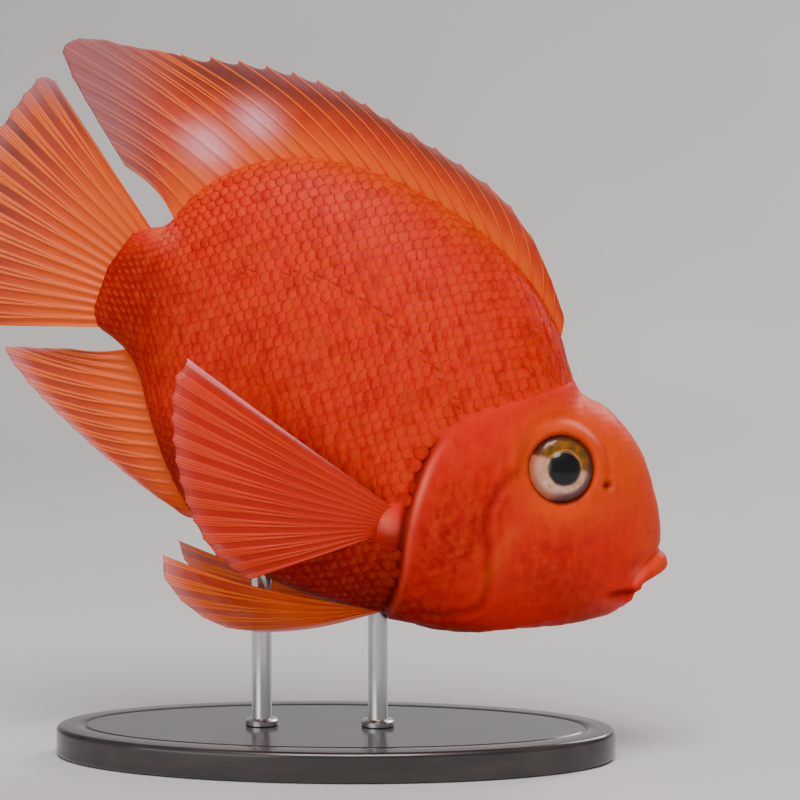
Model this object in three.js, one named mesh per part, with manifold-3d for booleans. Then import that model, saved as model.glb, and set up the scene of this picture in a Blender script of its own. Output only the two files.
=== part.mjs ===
// Blood parrot cichlid, life size and still, head down as it feeds, held by two rods over a flat base.
// Millimetres, +Z up, +X the way the head points and -Y its right flank. The origin is the middle of the
// base's underside. The fish is drawn level in a frame of its own, [forward, up] from the middle of the
// tail root, and its group is then turned head down and lifted on to the rods.
import * as THREE from "three";
import { mergeVertices } from "three/addons/utils/BufferGeometryUtils.js";
import Module from "manifold-3d";

const wasm = await Module();
wasm.setup();

// Pose
const HEAD_DOWN = THREE.MathUtils.degToRad(27.5);
const TAIL_ROOT_AT = new THREE.Vector3(-47, 0, 110.5);
const GAP = 0.3; // between pieces that touch
const RIGHT = -1;
const LEFT = 1;

// Sections of the body from the tail root to the throat, each a closed ring through the back, the side
// line and the belly. crown and keel say how square the ring is above and below the side line: 2 is round.
const SECTIONS = [
  { back: [-4.5, 10.5], side: [-6, 0], belly: [-4.5, -11], halfWidth: 1.2, crown: 2, keel: 2 },
  { back: [-1, 13.2], side: [-1.5, -0.3], belly: [-1, -13.6], halfWidth: 4.4, crown: 2, keel: 2 },
  { back: [1.8, 16], side: [4, -1], belly: [5, -14.8], halfWidth: 7.2, crown: 1.9, keel: 1.9 },
  { back: [4.4, 25], side: [9, -2], belly: [11, -18.3], halfWidth: 9.6, crown: 1.8, keel: 1.9 },
  { back: [11.5, 35.8], side: [17, -3.5], belly: [19, -26.8], halfWidth: 12.8, crown: 1.8, keel: 1.9 },
  { back: [24, 44], side: [28, -5], belly: [29, -36.3], halfWidth: 16.4, crown: 1.8, keel: 1.9 },
  { back: [40, 48.2], side: [41, -6.5], belly: [41, -43.3], halfWidth: 19.8, crown: 1.8, keel: 2 },
  { back: [56, 48.4], side: [55, -7.5], belly: [55, -46.4], halfWidth: 22, crown: 1.8, keel: 2 },
  { back: [70, 46.4], side: [68, -8], belly: [69, -45.9], halfWidth: 23.2, crown: 1.85, keel: 2 },
  { back: [82, 42.2], side: [80, -8.5], belly: [81, -43.4], halfWidth: 23.4, crown: 1.9, keel: 2 },
  { back: [92, 36], side: [90, -8.5], belly: [91, -40.8], halfWidth: 22.8, crown: 2, keel: 2 },
  { back: [99, 29.2], side: [98, -8], belly: [99.5, -39.2], halfWidth: 21.6, crown: 2.1, keel: 2 },
  { back: [103.8, 25.1], side: [105, -7.5], belly: [107, -36], halfWidth: 20.2, crown: 2.2, keel: 2 },
  { back: [110, 24.8], side: [112, -7], belly: [114, -31.7], halfWidth: 18.2, crown: 2.2, keel: 2 },
  { back: [117, 22.6], side: [118.5, -6.7], belly: [120.5, -27.5], halfWidth: 15.8, crown: 2.2, keel: 2 },
  { back: [123.5, 18.6], side: [124, -6.6], belly: [126, -23.8], halfWidth: 13, crown: 2.2, keel: 2 },
  { back: [129.3, 12.8], side: [128.5, -6.7], belly: [130.2, -20.4], halfWidth: 10.4, crown: 2.2, keel: 2 },
  { back: [133.4, 7.8], side: [131.8, -6.7], belly: [132.8, -18], halfWidth: 8.2, crown: 2.2, keel: 2 },
  { back: [135.8, 3.6], side: [133.6, -6.6], belly: [134.2, -16.2], halfWidth: 6.7, crown: 2.2, keel: 2.1 },
  { back: [136.3, 1.7], side: [134.2, -6.7], belly: [134.7, -15.1], halfWidth: 6.2, crown: 2.2, keel: 2.2 },
  { back: [138.6, 0.9], side: [135.5, -6.8], belly: [135.6, -13.6], halfWidth: 6.4, crown: 2.2, keel: 2.2 },
  { back: [140, -1.2], side: [136.3, -7.2], belly: [135.6, -12], halfWidth: 5.6, crown: 2.2, keel: 2.2 },
  { back: [138.6, -3.9], side: [135.2, -7.4], belly: [134.5, -10.6], halfWidth: 3.7, crown: 2, keel: 2 },
  { back: [135.2, -5], side: [133, -7.5], belly: [132.4, -10], halfWidth: 2.9, crown: 2, keel: 2 },
  { back: [130, -6.2], side: [129.4, -7.8], belly: [129.4, -9.4], halfWidth: 1.8, crown: 2, keel: 2 },
];
const RINGS_PER_SECTION = 2;
const RING_POINTS = 28;

// Where the head, gill covers, lower jaw and tail stalk part from the rest, as lines seen from the side
const GILL_MARGIN = [
  [103.2, 27], [93, 17], [84.5, 8], [80.6, 0], [81.2, -10], [83.6, -20], [87.2, -31], [88.5, -42],
];
const GILL_COVER_TOP = 4; // how high on the margin the free gill cover starts
const PREOPERCLE = [[99, 2], [98.6, -6], [102.5, -14], [106.5, -22], [106.5, -29], [99, -35.5], [91, -38.5]];
const GILL_COVER_THICKNESS = 3;
const GILL_COVER_RISE = 0.9; // how far the cover's rear edge stands over the flank
const MOUTH_LINE = [
  [142, -8.4], [134.6, -9.5], [131, -12], [126, -14.2], [117, -20], [110.5, -27], [108, -40],
];
const STALK_LINE = [[3, 30], [3.4, 22.5], [12.3, -19.5], [13, -30]];

// Eyes, nostrils and the rim round each eye
const EYE_RADIUS = 7.6;
const EYE_AT = new THREE.Vector3(107.3, 15.8, 8.6);
const EYE_TURN = THREE.MathUtils.degToRad(12); // both forward and up from straight out
const RIM_RADIUS = 8.3;
const RIM_THICKNESS = 1.3;
const NOSTRIL_AT = [118.3, 9.8];
const NOSTRIL_RADIUS = 0.75;

// Fins: the lines of their tips seen from the side, each from its first spine or its upper ray round
const DORSAL_TIPS = [
  [89.5, 40.2], [83.6, 46.1], [76.8, 51.7], [66.5, 56.6], [55.1, 58.7], [44.3, 59.6], [33.5, 60.4],
  [22.7, 61.1], [10.6, 59.4], [-3, 55.5], [-13.7, 51.2], [-24.7, 47.5], [-33, 45.2], [-38.6, 40.9],
  [-34.5, 35.8], [-24, 29], [-13, 22.5],
];
const CAUDAL_TIPS = [
  [-37, 32.4], [-40.4, 31.6], [-42.6, 23], [-43.8, 11], [-44.2, -1], [-43.6, -12], [-42, -23], [-39.4, -30.6],
  [-36.4, -30.9],
];
const ANAL_TIPS = [
  [33.5, -42.4], [26.1, -41.6], [14.8, -39.6], [-0.3, -35.6], [-6.1, -33.8], [-12.5, -31.3], [-18.6, -27.6],
  [-12, -24], [-5, -20.6],
];
const DORSAL_SPINES = 17;
const DORSAL_RAYS = 11;
const SPINY_SHARE = 0.66; // of the dorsal fin's base
const CAUDAL_RAYS = 16;
const ANAL_RAYS = 15;

// The paired fins: [forward, out, up] along the roots and tips, and how far the web bellies outward
const PECTORAL_ROOT = [[80.4, 21.6, -16.2], [79, 21.4, -19.5], [77.8, 20.6, -22.8]];
const PECTORAL_TIPS = [
  [23, 33, -6.5], [22.6, 34, -12], [26.5, 34.5, -20.5], [32, 34, -29], [39, 33, -36.5], [47, 31, -42],
  [57, 28.5, -44.5],
];
const PECTORAL_RAYS = 13;
const PECTORAL_BELLY = 2.6;
const PELVIC_ROOT = [[85.5, 5.6, -41.2], [83, 6, -41.8], [80.5, 6.6, -42]];
const PELVIC_TIPS = [
  [63, 14, -57], [56, 16, -58.8], [49, 17, -58.5], [43, 17, -57], [38.5, 16, -54.3], [36.5, 13.5, -51],
];
const PELVIC_RAYS = 6;

// Half the thickness of a fin's web and of the rays that stand out of it
const WEB_HALF = 0.3;
const RAY_HALF_ROOT = 0.85;
const RAY_HALF_TIP = 0.42;
const RAY_SHARE = 0.3; // how much of the space between two rays each ray's slope takes up
const LOBE_AT = [79.2, -19.6]; // the fleshy root of each pectoral fin
const LOBE_RADII = [4.2, 2.6, 4.8];
const ROOT_SINK = 2.2; // how far a fin's root is drawn into the flesh before it is trimmed to it
const FIN_ROWS = 5;

// Stand
const BASE_LENGTH = 130;
const BASE_WIDTH = 64;
const BASE_HEIGHT = 7;
const BASE_BEVEL = 1.2;
const ROD_RADIUS = 2.3;
const ROD_X = { front: 10, rear: -17 };

// A point of the fish's frame from how far forward and up it is, and how far across
const at = ([forward, up], across = 0) => new THREE.Vector3(forward, across, up);
const through = (points) => new THREE.CatmullRomCurve3(points, false, "catmullrom");
const smooth = (value, low, high) => THREE.MathUtils.smoothstep(value, low, high);

const back = through(SECTIONS.map((s) => at(s.back)));
const side = through(SECTIONS.map((s) => at(s.side)));
const belly = through(SECTIONS.map((s) => at(s.belly)));
const girth = through(SECTIONS.map((s) => new THREE.Vector3(s.halfWidth, s.crown, s.keel)));

// A point of the body at a share of the way from tail to mouth, turned from the back (0) by the right flank
function bodyPoint(along, turn) {
  const { x: halfWidth, y: crown, z: keel } = girth.getPoint(along);
  const upper = Math.cos(turn) >= 0;
  const power = 2 / (upper ? crown : keel);
  const rise = Math.abs(Math.cos(turn)) ** power;
  const spread = Math.abs(Math.sin(turn)) ** power * Math.sign(Math.sin(turn)) * RIGHT;
  const point = side.getPoint(along).lerp((upper ? back : belly).getPoint(along), rise);
  point.y = halfWidth * spread;
  return point;
}

// A closed surface of rings of points, capped at each end
function loft(rings) {
  const count = rings[0].length;
  const points = rings.flat();
  const index = [];
  for (let i = 0; i + 1 < rings.length; i++)
    for (let j = 0; j < count; j++) {
      const [a, b] = [i * count + j, i * count + ((j + 1) % count)];
      index.push(a, b, b + count, a, b + count, a + count);
    }
  for (const [ring, flip] of [[0, true], [rings.length - 1, false]]) {
    const centre = rings[ring].reduce((sum, p) => sum.add(p), new THREE.Vector3()).divideScalar(count);
    points.push(centre);
    for (let j = 0; j < count; j++) {
      const [a, b] = [ring * count + j, ring * count + ((j + 1) % count)];
      index.push(points.length - 1, ...(flip ? [b, a] : [a, b]));
    }
  }
  return new THREE.BufferGeometry().setFromPoints(points).setIndex(index);
}

// The geometry with each vertex moved along its normal by an amount that may depend on where it is
function swollen(geometry, amount) {
  const made = geometry.clone();
  made.computeVertexNormals();
  const [place, normal] = [made.getAttribute("position"), made.getAttribute("normal")];
  for (let i = 0; i < place.count; i++) {
    const p = new THREE.Vector3().fromBufferAttribute(place, i);
    p.addScaledVector(new THREE.Vector3().fromBufferAttribute(normal, i), amount(p));
    place.setXYZ(i, p.x, p.y, p.z);
  }
  return made;
}

// A closed geometry as a solid, turned right side out
function solid(geometry) {
  const bare = new THREE.BufferGeometry().setAttribute("position", geometry.getAttribute("position"));
  const merged = mergeVertices(bare.setIndex(geometry.index), 1e-4);
  const triVerts = new Uint32Array(merged.index.array);
  const vertProperties = merged.getAttribute("position").array;
  const made = new wasm.Manifold(new wasm.Mesh({ numProp: 3, vertProperties, triVerts }));
  if (made.volume() > 0) return made;
  return new wasm.Manifold(new wasm.Mesh({ numProp: 3, vertProperties, triVerts: triVerts.reverse() }));
}

// The largest closed surface of a solid, as a geometry
function geometryOf(cut) {
  const largest = cut.decompose().sort((a, b) => b.volume() - a.volume())[0];
  const { numProp, vertProperties, triVerts } = largest.getMesh();
  const points = [];
  for (let i = 0; i < vertProperties.length; i += numProp) points.push(...vertProperties.subarray(i, i + 3));
  const geometry = new THREE.BufferGeometry().setIndex(new THREE.BufferAttribute(triVerts, 1));
  geometry.setAttribute("position", new THREE.Float32BufferAttribute(points, 3));
  geometry.computeVertexNormals();
  return geometry;
}

// A slab that crosses the whole fish, with the outline of a list of points seen from the side
function slab(points, halfDepth = 60) {
  const shape = new THREE.Shape(points.map(([x, y]) => new THREE.Vector2(x, y)));
  const made = new THREE.ExtrudeGeometry(shape, { depth: 2 * halfDepth, bevelEnabled: false });
  return solid(made.rotateX(Math.PI / 2).translate(0, halfDepth, 0));
}

// A smooth line through points, as many short steps
function smoothLine(points, steps = 16) {
  return through(points.map((p) => at(p))).getPoints(steps).map((p) => [p.x, p.z]);
}

const shifted = (points, [dx, dy]) => points.map(([x, y]) => [x + dx, y + dy]);

// A closed outline with each point moved outward
function outset(points, by) {
  const turn = Math.sign(THREE.ShapeUtils.area(points.map(([x, y]) => new THREE.Vector2(x, y))));
  return points.map(([x, y], i) => {
    const [before, after] = [points.at(i - 1), points[(i + 1) % points.length]];
    const along = new THREE.Vector2(after[0] - before[0], after[1] - before[1]).normalize();
    return [x + along.y * turn * by, y - along.x * turn * by];
  });
}

// Flesh
const ringCount = (SECTIONS.length - 1) * RINGS_PER_SECTION;
const rings = Array.from({ length: ringCount + 1 }, (_, i) =>
  Array.from({ length: RING_POINTS }, (_, j) => bodyPoint(i / ringCount, (2 * Math.PI * j) / RING_POINTS)),
);
const body = loft(rings);
const headSwell = (p) => GILL_COVER_RISE * smooth(-p.x, -98, -84) * smooth(-p.z, -8, 0);
const headFlesh = solid(swollen(body, headSwell));
const lobes = [RIGHT, LEFT].map((flank) => (extra) => {
  const lobe = new THREE.SphereGeometry(1, 16, 10).scale(...LOBE_RADII.map((r) => r + extra));
  return solid(lobe.rotateZ(-0.12 * flank).translate(LOBE_AT[0], flank * 21.4, LOBE_AT[1]));
});
const bodyClear = lobes.reduce(
  (sum, lobe) => sum.add(lobe(GAP)),
  solid(swollen(body, (p) => headSwell(p) * smooth(p.x, 78, 84) + GAP)),
);

const margin = smoothLine(GILL_MARGIN);
const headOutline = [[103.6, 60], ...margin, [88.5, -60], [160, -60], [160, 60]];
const headSlab = slab(headOutline);
const clearOutline = [[103.6, 60], ...shifted(margin, [-GAP, GAP / 2]), [88.2, -60], [160, -60], [160, 60]];
const headSlabClear = slab(clearOutline);
const stalkSlab = slab([...STALK_LINE, [-60, -30], [-60, 30]]);
const stalkSlabClear = slab([...shifted(STALK_LINE, [GAP, 0]), [-60, -30], [-60, 30]]);

const fleshyTrunk = lobes.reduce((sum, lobe) => sum.add(lobe(0)), solid(body));
const trunk = fleshyTrunk.subtract(headSlabClear).subtract(stalkSlabClear);
const stalk = solid(body).intersect(stalkSlab);

const coverEdge = margin.filter(([, z]) => z < GILL_COVER_TOP && z > -38);
const preopercle = smoothLine(PREOPERCLE, 14);
const coverOutline = [...shifted(coverEdge, [-4, 0]), ...preopercle.slice().reverse()];
const coverSlab = slab(coverOutline);
const coverSlabClear = slab(outset(coverOutline, GAP));
const core = solid(swollen(body, (p) => headSwell(p) - GILL_COVER_THICKNESS));
const coreClear = solid(swollen(body, (p) => headSwell(p) - GILL_COVER_THICKNESS - GAP));
const gillCovers = headFlesh.intersect(headSlab).intersect(coverSlab).subtract(core);

const jawOutline = [...MOUTH_LINE, [142, -40]];
const jawSlab = slab(jawOutline);
const jawSlabClear = slab([...shifted(MOUTH_LINE, [-GAP * 0.7, GAP]), [142, -40]]);
const jaw = headFlesh.intersect(headSlab).intersect(jawSlab);

// An eye, turned with the slope of the head: the ball, the iris set back from its rim, and the pupil's dome
function eyeGeometry() {
  const profile = [
    [0, -6], [3.2, -5.5], [5.7, -3.9], [7.2, -1.7], [7.6, 0], [7.3, 0.9], [6.6, 1.3],
    [5.4, 1.7], [4, 1.9], [3.8, 2.4], [2.8, 2.9], [1.4, 3.2], [0, 3.3],
  ];
  const scale = EYE_RADIUS / 7.6;
  return new THREE.LatheGeometry(profile.map(([r, h]) => new THREE.Vector2(r * scale, h * scale)), 24);
}

// Places a geometry drawn with its axis up +Y on the outward line of one eye
function onEye(geometry, flank, out = 0) {
  const outward = at([Math.sin(EYE_TURN), Math.sin(EYE_TURN)], flank * Math.cos(EYE_TURN)).normalize();
  const turn = new THREE.Quaternion().setFromUnitVectors(new THREE.Vector3(0, 1, 0), outward);
  const centre = new THREE.Vector3(EYE_AT.x, flank * EYE_AT.y, EYE_AT.z).addScaledVector(outward, out);
  return geometry.applyQuaternion(turn).translate(...centre.toArray());
}

let head = headFlesh.intersect(headSlab).subtract(jawSlabClear);
head = head.subtract(coverSlabClear.subtract(coreClear));
for (const flank of [RIGHT, LEFT]) {
  const rim = new THREE.TorusGeometry(RIM_RADIUS, RIM_THICKNESS, 6, 24).rotateX(Math.PI / 2);
  head = head.add(solid(onEye(rim, flank, 0.2)));
  const socket = swollen(mergeVertices(bareOf(eyeGeometry())), () => GAP);
  head = head.subtract(solid(onEye(socket, flank)));
  const nostril = new THREE.SphereGeometry(NOSTRIL_RADIUS, 10, 8).scale(1.3, 4, 1);
  head = head.subtract(solid(nostril.translate(NOSTRIL_AT[0], flank * 15.2, NOSTRIL_AT[1])));
}

// A geometry with its positions and faces only
function bareOf(geometry) {
  const bare = new THREE.BufferGeometry().setAttribute("position", geometry.getAttribute("position"));
  return bare.setIndex(geometry.index);
}

// A thin closed sheet on a grid of centre points, thickened to both sides along one direction. Its two
// faces are split into triangles alike.
function sheet(lines, halfThickness, across) {
  const [columns, rows] = [lines.length, lines[0].length];
  const moved = (p, distance) => p.clone().addScaledVector(across, distance);
  const points = [1, -1].flatMap((face) =>
    lines.flatMap((line, i) => line.map((p, j) => moved(p, face * halfThickness(i, j)))),
  );
  const vertex = (face, i, j) => (face * columns + i) * rows + j;
  const index = [];
  const quad = (a, b, c, d) => index.push(a, b, c, a, c, d);
  for (let i = 0; i + 1 < columns; i++)
    for (let j = 0; j + 1 < rows; j++) {
      const corners = [[i, j], [i + 1, j], [i + 1, j + 1], [i, j + 1]];
      const [a, b, c, d] = corners.map(([k, l]) => vertex(0, k, l));
      const [e, f, g, h] = corners.map(([k, l]) => vertex(1, k, l));
      quad(a, b, c, d);
      index.push(e, g, f, e, h, g);
    }
  const edge = [
    ...Array.from({ length: columns - 1 }, (_, i) => [i, 0]),
    ...Array.from({ length: rows - 1 }, (_, j) => [columns - 1, j]),
    ...Array.from({ length: columns - 1 }, (_, i) => [columns - 1 - i, rows - 1]),
    ...Array.from({ length: rows - 1 }, (_, j) => [0, rows - 1 - j]),
  ];
  edge.forEach(([i, j], k) => {
    const [m, n] = edge[(k + 1) % edge.length];
    quad(vertex(0, i, j), vertex(1, i, j), vertex(1, m, n), vertex(0, m, n));
  });
  return solid(new THREE.BufferGeometry().setFromPoints(points).setIndex(index));
}

// A fin from a root line to a tip line, its rays raised as ridges in the web's own surface. Each ray bows by
// a little within the fin and sways across it, and the web between two rays stops short of their tips by the
// notch. The root is drawn into the flesh.
function fin({ root, tip, rays, across, bow = new THREE.Vector3(), sway = () => 0, notch = 0.02 }) {
  const lines = Array.from({ length: 3 * (rays - 1) + 1 }, (_, i) => {
    const t = (Math.floor(i / 3) + [0, RAY_SHARE, 1 - RAY_SHARE][i % 3]) / (rays - 1);
    const [from, to] = [root.getPointAt(t), tip.getPointAt(t)];
    if (i % 3) to.lerp(from, notch);
    from.addScaledVector(to.clone().sub(from).normalize(), -ROOT_SINK);
    return Array.from({ length: FIN_ROWS + 1 }, (_, j) => {
      const v = j / FIN_ROWS;
      const point = from.clone().lerp(to, v).addScaledVector(bow, Math.sin(Math.PI * v));
      return point.addScaledVector(across, sway(t, v));
    });
  });
  const rayHalf = (j) => THREE.MathUtils.lerp(RAY_HALF_ROOT, RAY_HALF_TIP, j / FIN_ROWS);
  return sheet(lines, (i, j) => (i % 3 ? WEB_HALF : rayHalf(j)), across);
}

// The part of a line between two of its points, as a line of its own
function stretch(curve, from, to, steps = 24) {
  const shares = Array.from({ length: steps + 1 }, (_, i) => from + ((to - from) * i) / steps);
  return through(shares.map((share) => curve.getPoint(share)));
}

const lastSection = SECTIONS.length - 1;
const Y = new THREE.Vector3(0, 1, 0);
const backLine = stretch(back, 10.1 / lastSection, 2.1 / lastSection);
const bellyLine = stretch(belly, 5.75 / lastSection, 2.1 / lastSection);
const tailLine = through([[-1, 12.6], [-2.5, 6], [-3, -0.5], [-2.5, -7], [-1, -13]].map((p) => at(p)));
const dorsalTips = through(DORSAL_TIPS.map((p) => at(p)));
const dorsalShare = (t) => t + 0.04 * Math.sin(2 * Math.PI * t) * (1 - t);

function dorsal(from, to, rays, notch) {
  return fin({
    root: { getPointAt: (t) => backLine.getPointAt(from + (to - from) * t) },
    tip: { getPointAt: (t) => dorsalTips.getPointAt(dorsalShare(from + (to - from) * t)) },
    rays,
    across: Y,
    bow: new THREE.Vector3(0.6, 0, 1.6),
    sway: (t, v) => 1.2 * v * v * Math.sin(2 * Math.PI * (from + (to - from) * t) * 1.5),
    notch,
  });
}

const caudalTips = through(CAUDAL_TIPS.map((p) => at(p)));
const analTips = through(ANAL_TIPS.map((p) => at(p)));
const fins = {
  dorsal_fin_spines: dorsal(0, SPINY_SHARE, DORSAL_SPINES, 0.07),
  dorsal_fin_rays: dorsal(SPINY_SHARE + 0.014, 1, DORSAL_RAYS, 0.02),
  caudal_fin: fin({
    root: tailLine,
    tip: caudalTips,
    rays: CAUDAL_RAYS,
    across: Y,
    sway: (t, v) => 3 * v * v,
  }),
  anal_fin: fin({
    root: bellyLine,
    tip: analTips,
    rays: ANAL_RAYS,
    across: Y,
    bow: at([0, -0.8]),
    sway: (t, v) => -1.5 * v * v,
  }),
};

// A line through points given as [forward, out, up] on one flank
function onFlank(points, flank) {
  return through(points.map(([forward, out, up]) => at([forward, up], flank * out)));
}

function pectoral(flank) {
  return fin({
    root: onFlank(PECTORAL_ROOT, flank),
    tip: onFlank(PECTORAL_TIPS, flank),
    rays: PECTORAL_RAYS,
    across: at([0.25, 0.1], flank).normalize(),
    bow: at([0, 0], flank * PECTORAL_BELLY),
  });
}

function pelvic(flank) {
  return fin({
    root: onFlank(PELVIC_ROOT, flank),
    tip: onFlank(PELVIC_TIPS, flank),
    rays: PELVIC_RAYS,
    across: at([0.08, 0.38], flank * 0.92).normalize(),
    bow: at([0, -1.5], flank),
  });
}

// Material
const orange = new THREE.MeshStandardMaterial({ color: 0xe8401c, roughness: 0.45, metalness: 0 });
const paleOrange = new THREE.MeshStandardMaterial({ color: 0xf08030, roughness: 0.5, metalness: 0 });
const eyeColour = new THREE.MeshStandardMaterial({ color: 0xd8b8a8, roughness: 0.15, metalness: 0 });
const black = new THREE.MeshStandardMaterial({ color: 0x18161a, roughness: 0.35, metalness: 0 });
const steel = new THREE.MeshStandardMaterial({ color: 0xb8b8ba, roughness: 0.3, metalness: 1 });

function piece(name, geometry, material) {
  const mesh = new THREE.Mesh(geometry, material);
  mesh.name = name;
  return mesh;
}

const fish = new THREE.Group();
fish.rotation.y = HEAD_DOWN;
fish.position.copy(TAIL_ROOT_AT);
fish.add(piece("head", geometryOf(head), orange));
fish.add(piece("lower_jaw", geometryOf(jaw), orange));
fish.add(piece("trunk", geometryOf(trunk), orange));
fish.add(piece("tail_stalk", geometryOf(stalk), orange));
for (const [name, made] of Object.entries(fins))
  fish.add(piece(name, geometryOf(made.subtract(bodyClear)), paleOrange));
for (const [name, flank] of [["right", RIGHT], ["left", LEFT]]) {
  const half = slab([[60, -60], [140, -60], [140, 60], [60, 60]], 30).translate([0, flank * 30, 0]);
  fish.add(piece("gill_cover_" + name, geometryOf(gillCovers.intersect(half)), orange));
  fish.add(piece("eye_" + name, onEye(eyeGeometry(), flank), eyeColour));
  fish.add(piece("pectoral_fin_" + name, geometryOf(pectoral(flank).subtract(bodyClear)), paleOrange));
  fish.add(piece("pelvic_fin_" + name, geometryOf(pelvic(flank).subtract(bodyClear)), paleOrange));
}

// Stand
function baseGeometry() {
  const [halfLength, halfWidth] = [BASE_LENGTH / 2 - BASE_BEVEL, BASE_WIDTH / 2 - BASE_BEVEL];
  const outline = new THREE.Shape().absellipse(0, 0, halfLength, halfWidth, 0, 2 * Math.PI, false, 0);
  return new THREE.ExtrudeGeometry(outline, {
    depth: BASE_HEIGHT - 2 * BASE_BEVEL,
    bevelThickness: BASE_BEVEL,
    bevelSize: BASE_BEVEL,
    bevelSegments: 2,
    curveSegments: 32,
  }).translate(0, 0, BASE_BEVEL);
}

fish.updateMatrixWorld(true);
const bellyClear = swollen(body, (p) => headSwell(p) * smooth(p.x, 70, 80) + GAP);
const fishClear = solid(bellyClear.applyMatrix4(fish.matrixWorld));

function rod(x) {
  const bottom = BASE_HEIGHT + GAP;
  const length = 60;
  const made = new THREE.CylinderGeometry(ROD_RADIUS, ROD_RADIUS, length, 20).rotateX(Math.PI / 2);
  return geometryOf(solid(made.translate(x, 0, bottom + length / 2)).subtract(fishClear));
}

const part = new THREE.Group();
part.add(fish);
part.add(piece("stand_base", geometryOf(solid(baseGeometry())), black));
part.add(piece("stand_rod_front", rod(ROD_X.front), steel));
part.add(piece("stand_rod_rear", rod(ROD_X.rear), steel));

export default part;
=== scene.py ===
"""Life-size blood parrot cichlid, head down on a display stand.

One skin covers the flesh, scales lie over it, and the fins, eyes and stand are pieces of their own. The fish
is worked out in millimetres in a frame of its own, [forward, across, up] from the middle of the tail root,
and each finished piece is placed in the row frame in metres.
"""

import logging
import math
from dataclasses import dataclass
from enum import Enum
from typing import Callable, Sequence

import bpy
import numpy as np
from bpy.types import Material, Mesh, Node, NodeSocket, NodeTree, Object
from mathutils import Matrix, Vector


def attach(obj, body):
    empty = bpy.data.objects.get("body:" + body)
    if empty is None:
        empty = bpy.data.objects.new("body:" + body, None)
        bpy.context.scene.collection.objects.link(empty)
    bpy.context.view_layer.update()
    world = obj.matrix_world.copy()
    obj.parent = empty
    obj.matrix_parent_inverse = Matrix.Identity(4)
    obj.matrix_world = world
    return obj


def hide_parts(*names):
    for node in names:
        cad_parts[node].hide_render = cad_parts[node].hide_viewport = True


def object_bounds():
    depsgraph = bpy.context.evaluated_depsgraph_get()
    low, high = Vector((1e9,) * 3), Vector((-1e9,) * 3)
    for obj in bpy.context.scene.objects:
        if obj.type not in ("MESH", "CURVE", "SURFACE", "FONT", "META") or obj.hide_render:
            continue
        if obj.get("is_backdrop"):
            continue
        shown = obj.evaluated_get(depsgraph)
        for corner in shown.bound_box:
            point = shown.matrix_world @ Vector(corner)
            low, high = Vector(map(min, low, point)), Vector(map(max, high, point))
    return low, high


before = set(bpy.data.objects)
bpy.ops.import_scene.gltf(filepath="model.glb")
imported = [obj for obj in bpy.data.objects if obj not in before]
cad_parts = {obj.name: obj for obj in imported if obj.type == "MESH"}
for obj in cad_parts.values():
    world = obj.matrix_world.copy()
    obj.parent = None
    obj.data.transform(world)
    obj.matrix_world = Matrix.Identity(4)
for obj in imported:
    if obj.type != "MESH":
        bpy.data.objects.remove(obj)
CAD_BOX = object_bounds()

MM = 0.001
BODY = "root"
Array = np.ndarray
Colour = tuple[float, float, float]
Flat = tuple[float, float]
Point = tuple[float, float, float]
Socket = NodeSocket
log = logging.getLogger("cichlid")


class Flank(Enum):
    """A side of the fish, by the sign of its across coordinate."""

    RIGHT = -1
    LEFT = 1

    @property
    def side(self) -> str:
        """The side's name as the solids spell it."""
        return self.name.lower()


class Slot(Enum):
    """The record's material slots."""

    SKIN = "skin"
    FIN = "fin"
    EYE = "eye"
    BASE = "lacquered_base"
    ROD = "steel_rod"


def smooth(value: Array, low: float, high: float) -> Array:
    """Rises from 0 at low to 1 at high.

    Args:
        value: The values to map.
        low: Where the result is 0.
        high: Where the result is 1, above or below low.

    Returns:
        The smoothed share for each value.
    """
    share = np.clip((np.asarray(value, float) - low) / (high - low), 0.0, 1.0)
    return share * share * (3.0 - 2.0 * share)


def bump(value: Array, centre: float, width: float) -> Array:
    """A bell of height 1 at centre, falling away over width."""
    return np.exp(-(((np.asarray(value, float) - centre) / width) ** 2))


def strongest(*parts: Array) -> Array:
    """The largest of several values at each point."""
    return np.maximum.reduce(parts)


def unit(vectors: Array) -> Array:
    """The vectors at length 1."""
    vectors = np.asarray(vectors, float)
    return vectors / np.maximum(np.linalg.norm(vectors, axis=-1, keepdims=True), 1e-12)


@dataclass(frozen=True)
class Spot:
    """A soft oval spot on the fish, seen from the side, in millimetres.

    Attributes:
        at: Its middle as [forward, up].
        reach: How far it reaches forward and up.
        amount: Its strength in the middle.
    """

    at: Flat
    reach: Flat
    amount: float = 1.0

    def on(self, points: Array) -> Array:
        """How strong the spot is at points of the fish.

        Args:
            points: Points as [forward, across, up].

        Returns:
            The strength at each point.
        """
        forward = (points[..., 0] - self.at[0]) / self.reach[0]
        up = (points[..., 2] - self.at[1]) / self.reach[1]
        return self.amount * bump(np.hypot(forward, up), 0.0, 1.0)


@dataclass(frozen=True)
class Pose:
    """How the fish's own frame sits in the row frame.

    Attributes:
        head_down: How far the head points down.
        tail_root: The middle of the tail root in the row frame, in millimetres.
    """

    head_down: float = math.radians(27.5)
    tail_root: Point = (-47.0, 0.0, 110.5)

    def turn(self, vectors: Array) -> Array:
        """Turns directions of the fish's frame into the row frame.

        Args:
            vectors: Directions as [forward, across, up].

        Returns:
            The same directions in the row frame.
        """
        c, s = math.cos(self.head_down), math.sin(self.head_down)
        vectors = np.asarray(vectors, float)
        forward, across, up = vectors[..., 0], vectors[..., 1], vectors[..., 2]
        return np.stack([forward * c + up * s, across, up * c - forward * s], axis=-1)

    def place(self, points: Array) -> Array:
        """Places points of the fish, in millimetres, in the row frame, in metres."""
        return (self.turn(points) + np.array(self.tail_root)) * MM


POSE = Pose()


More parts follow.
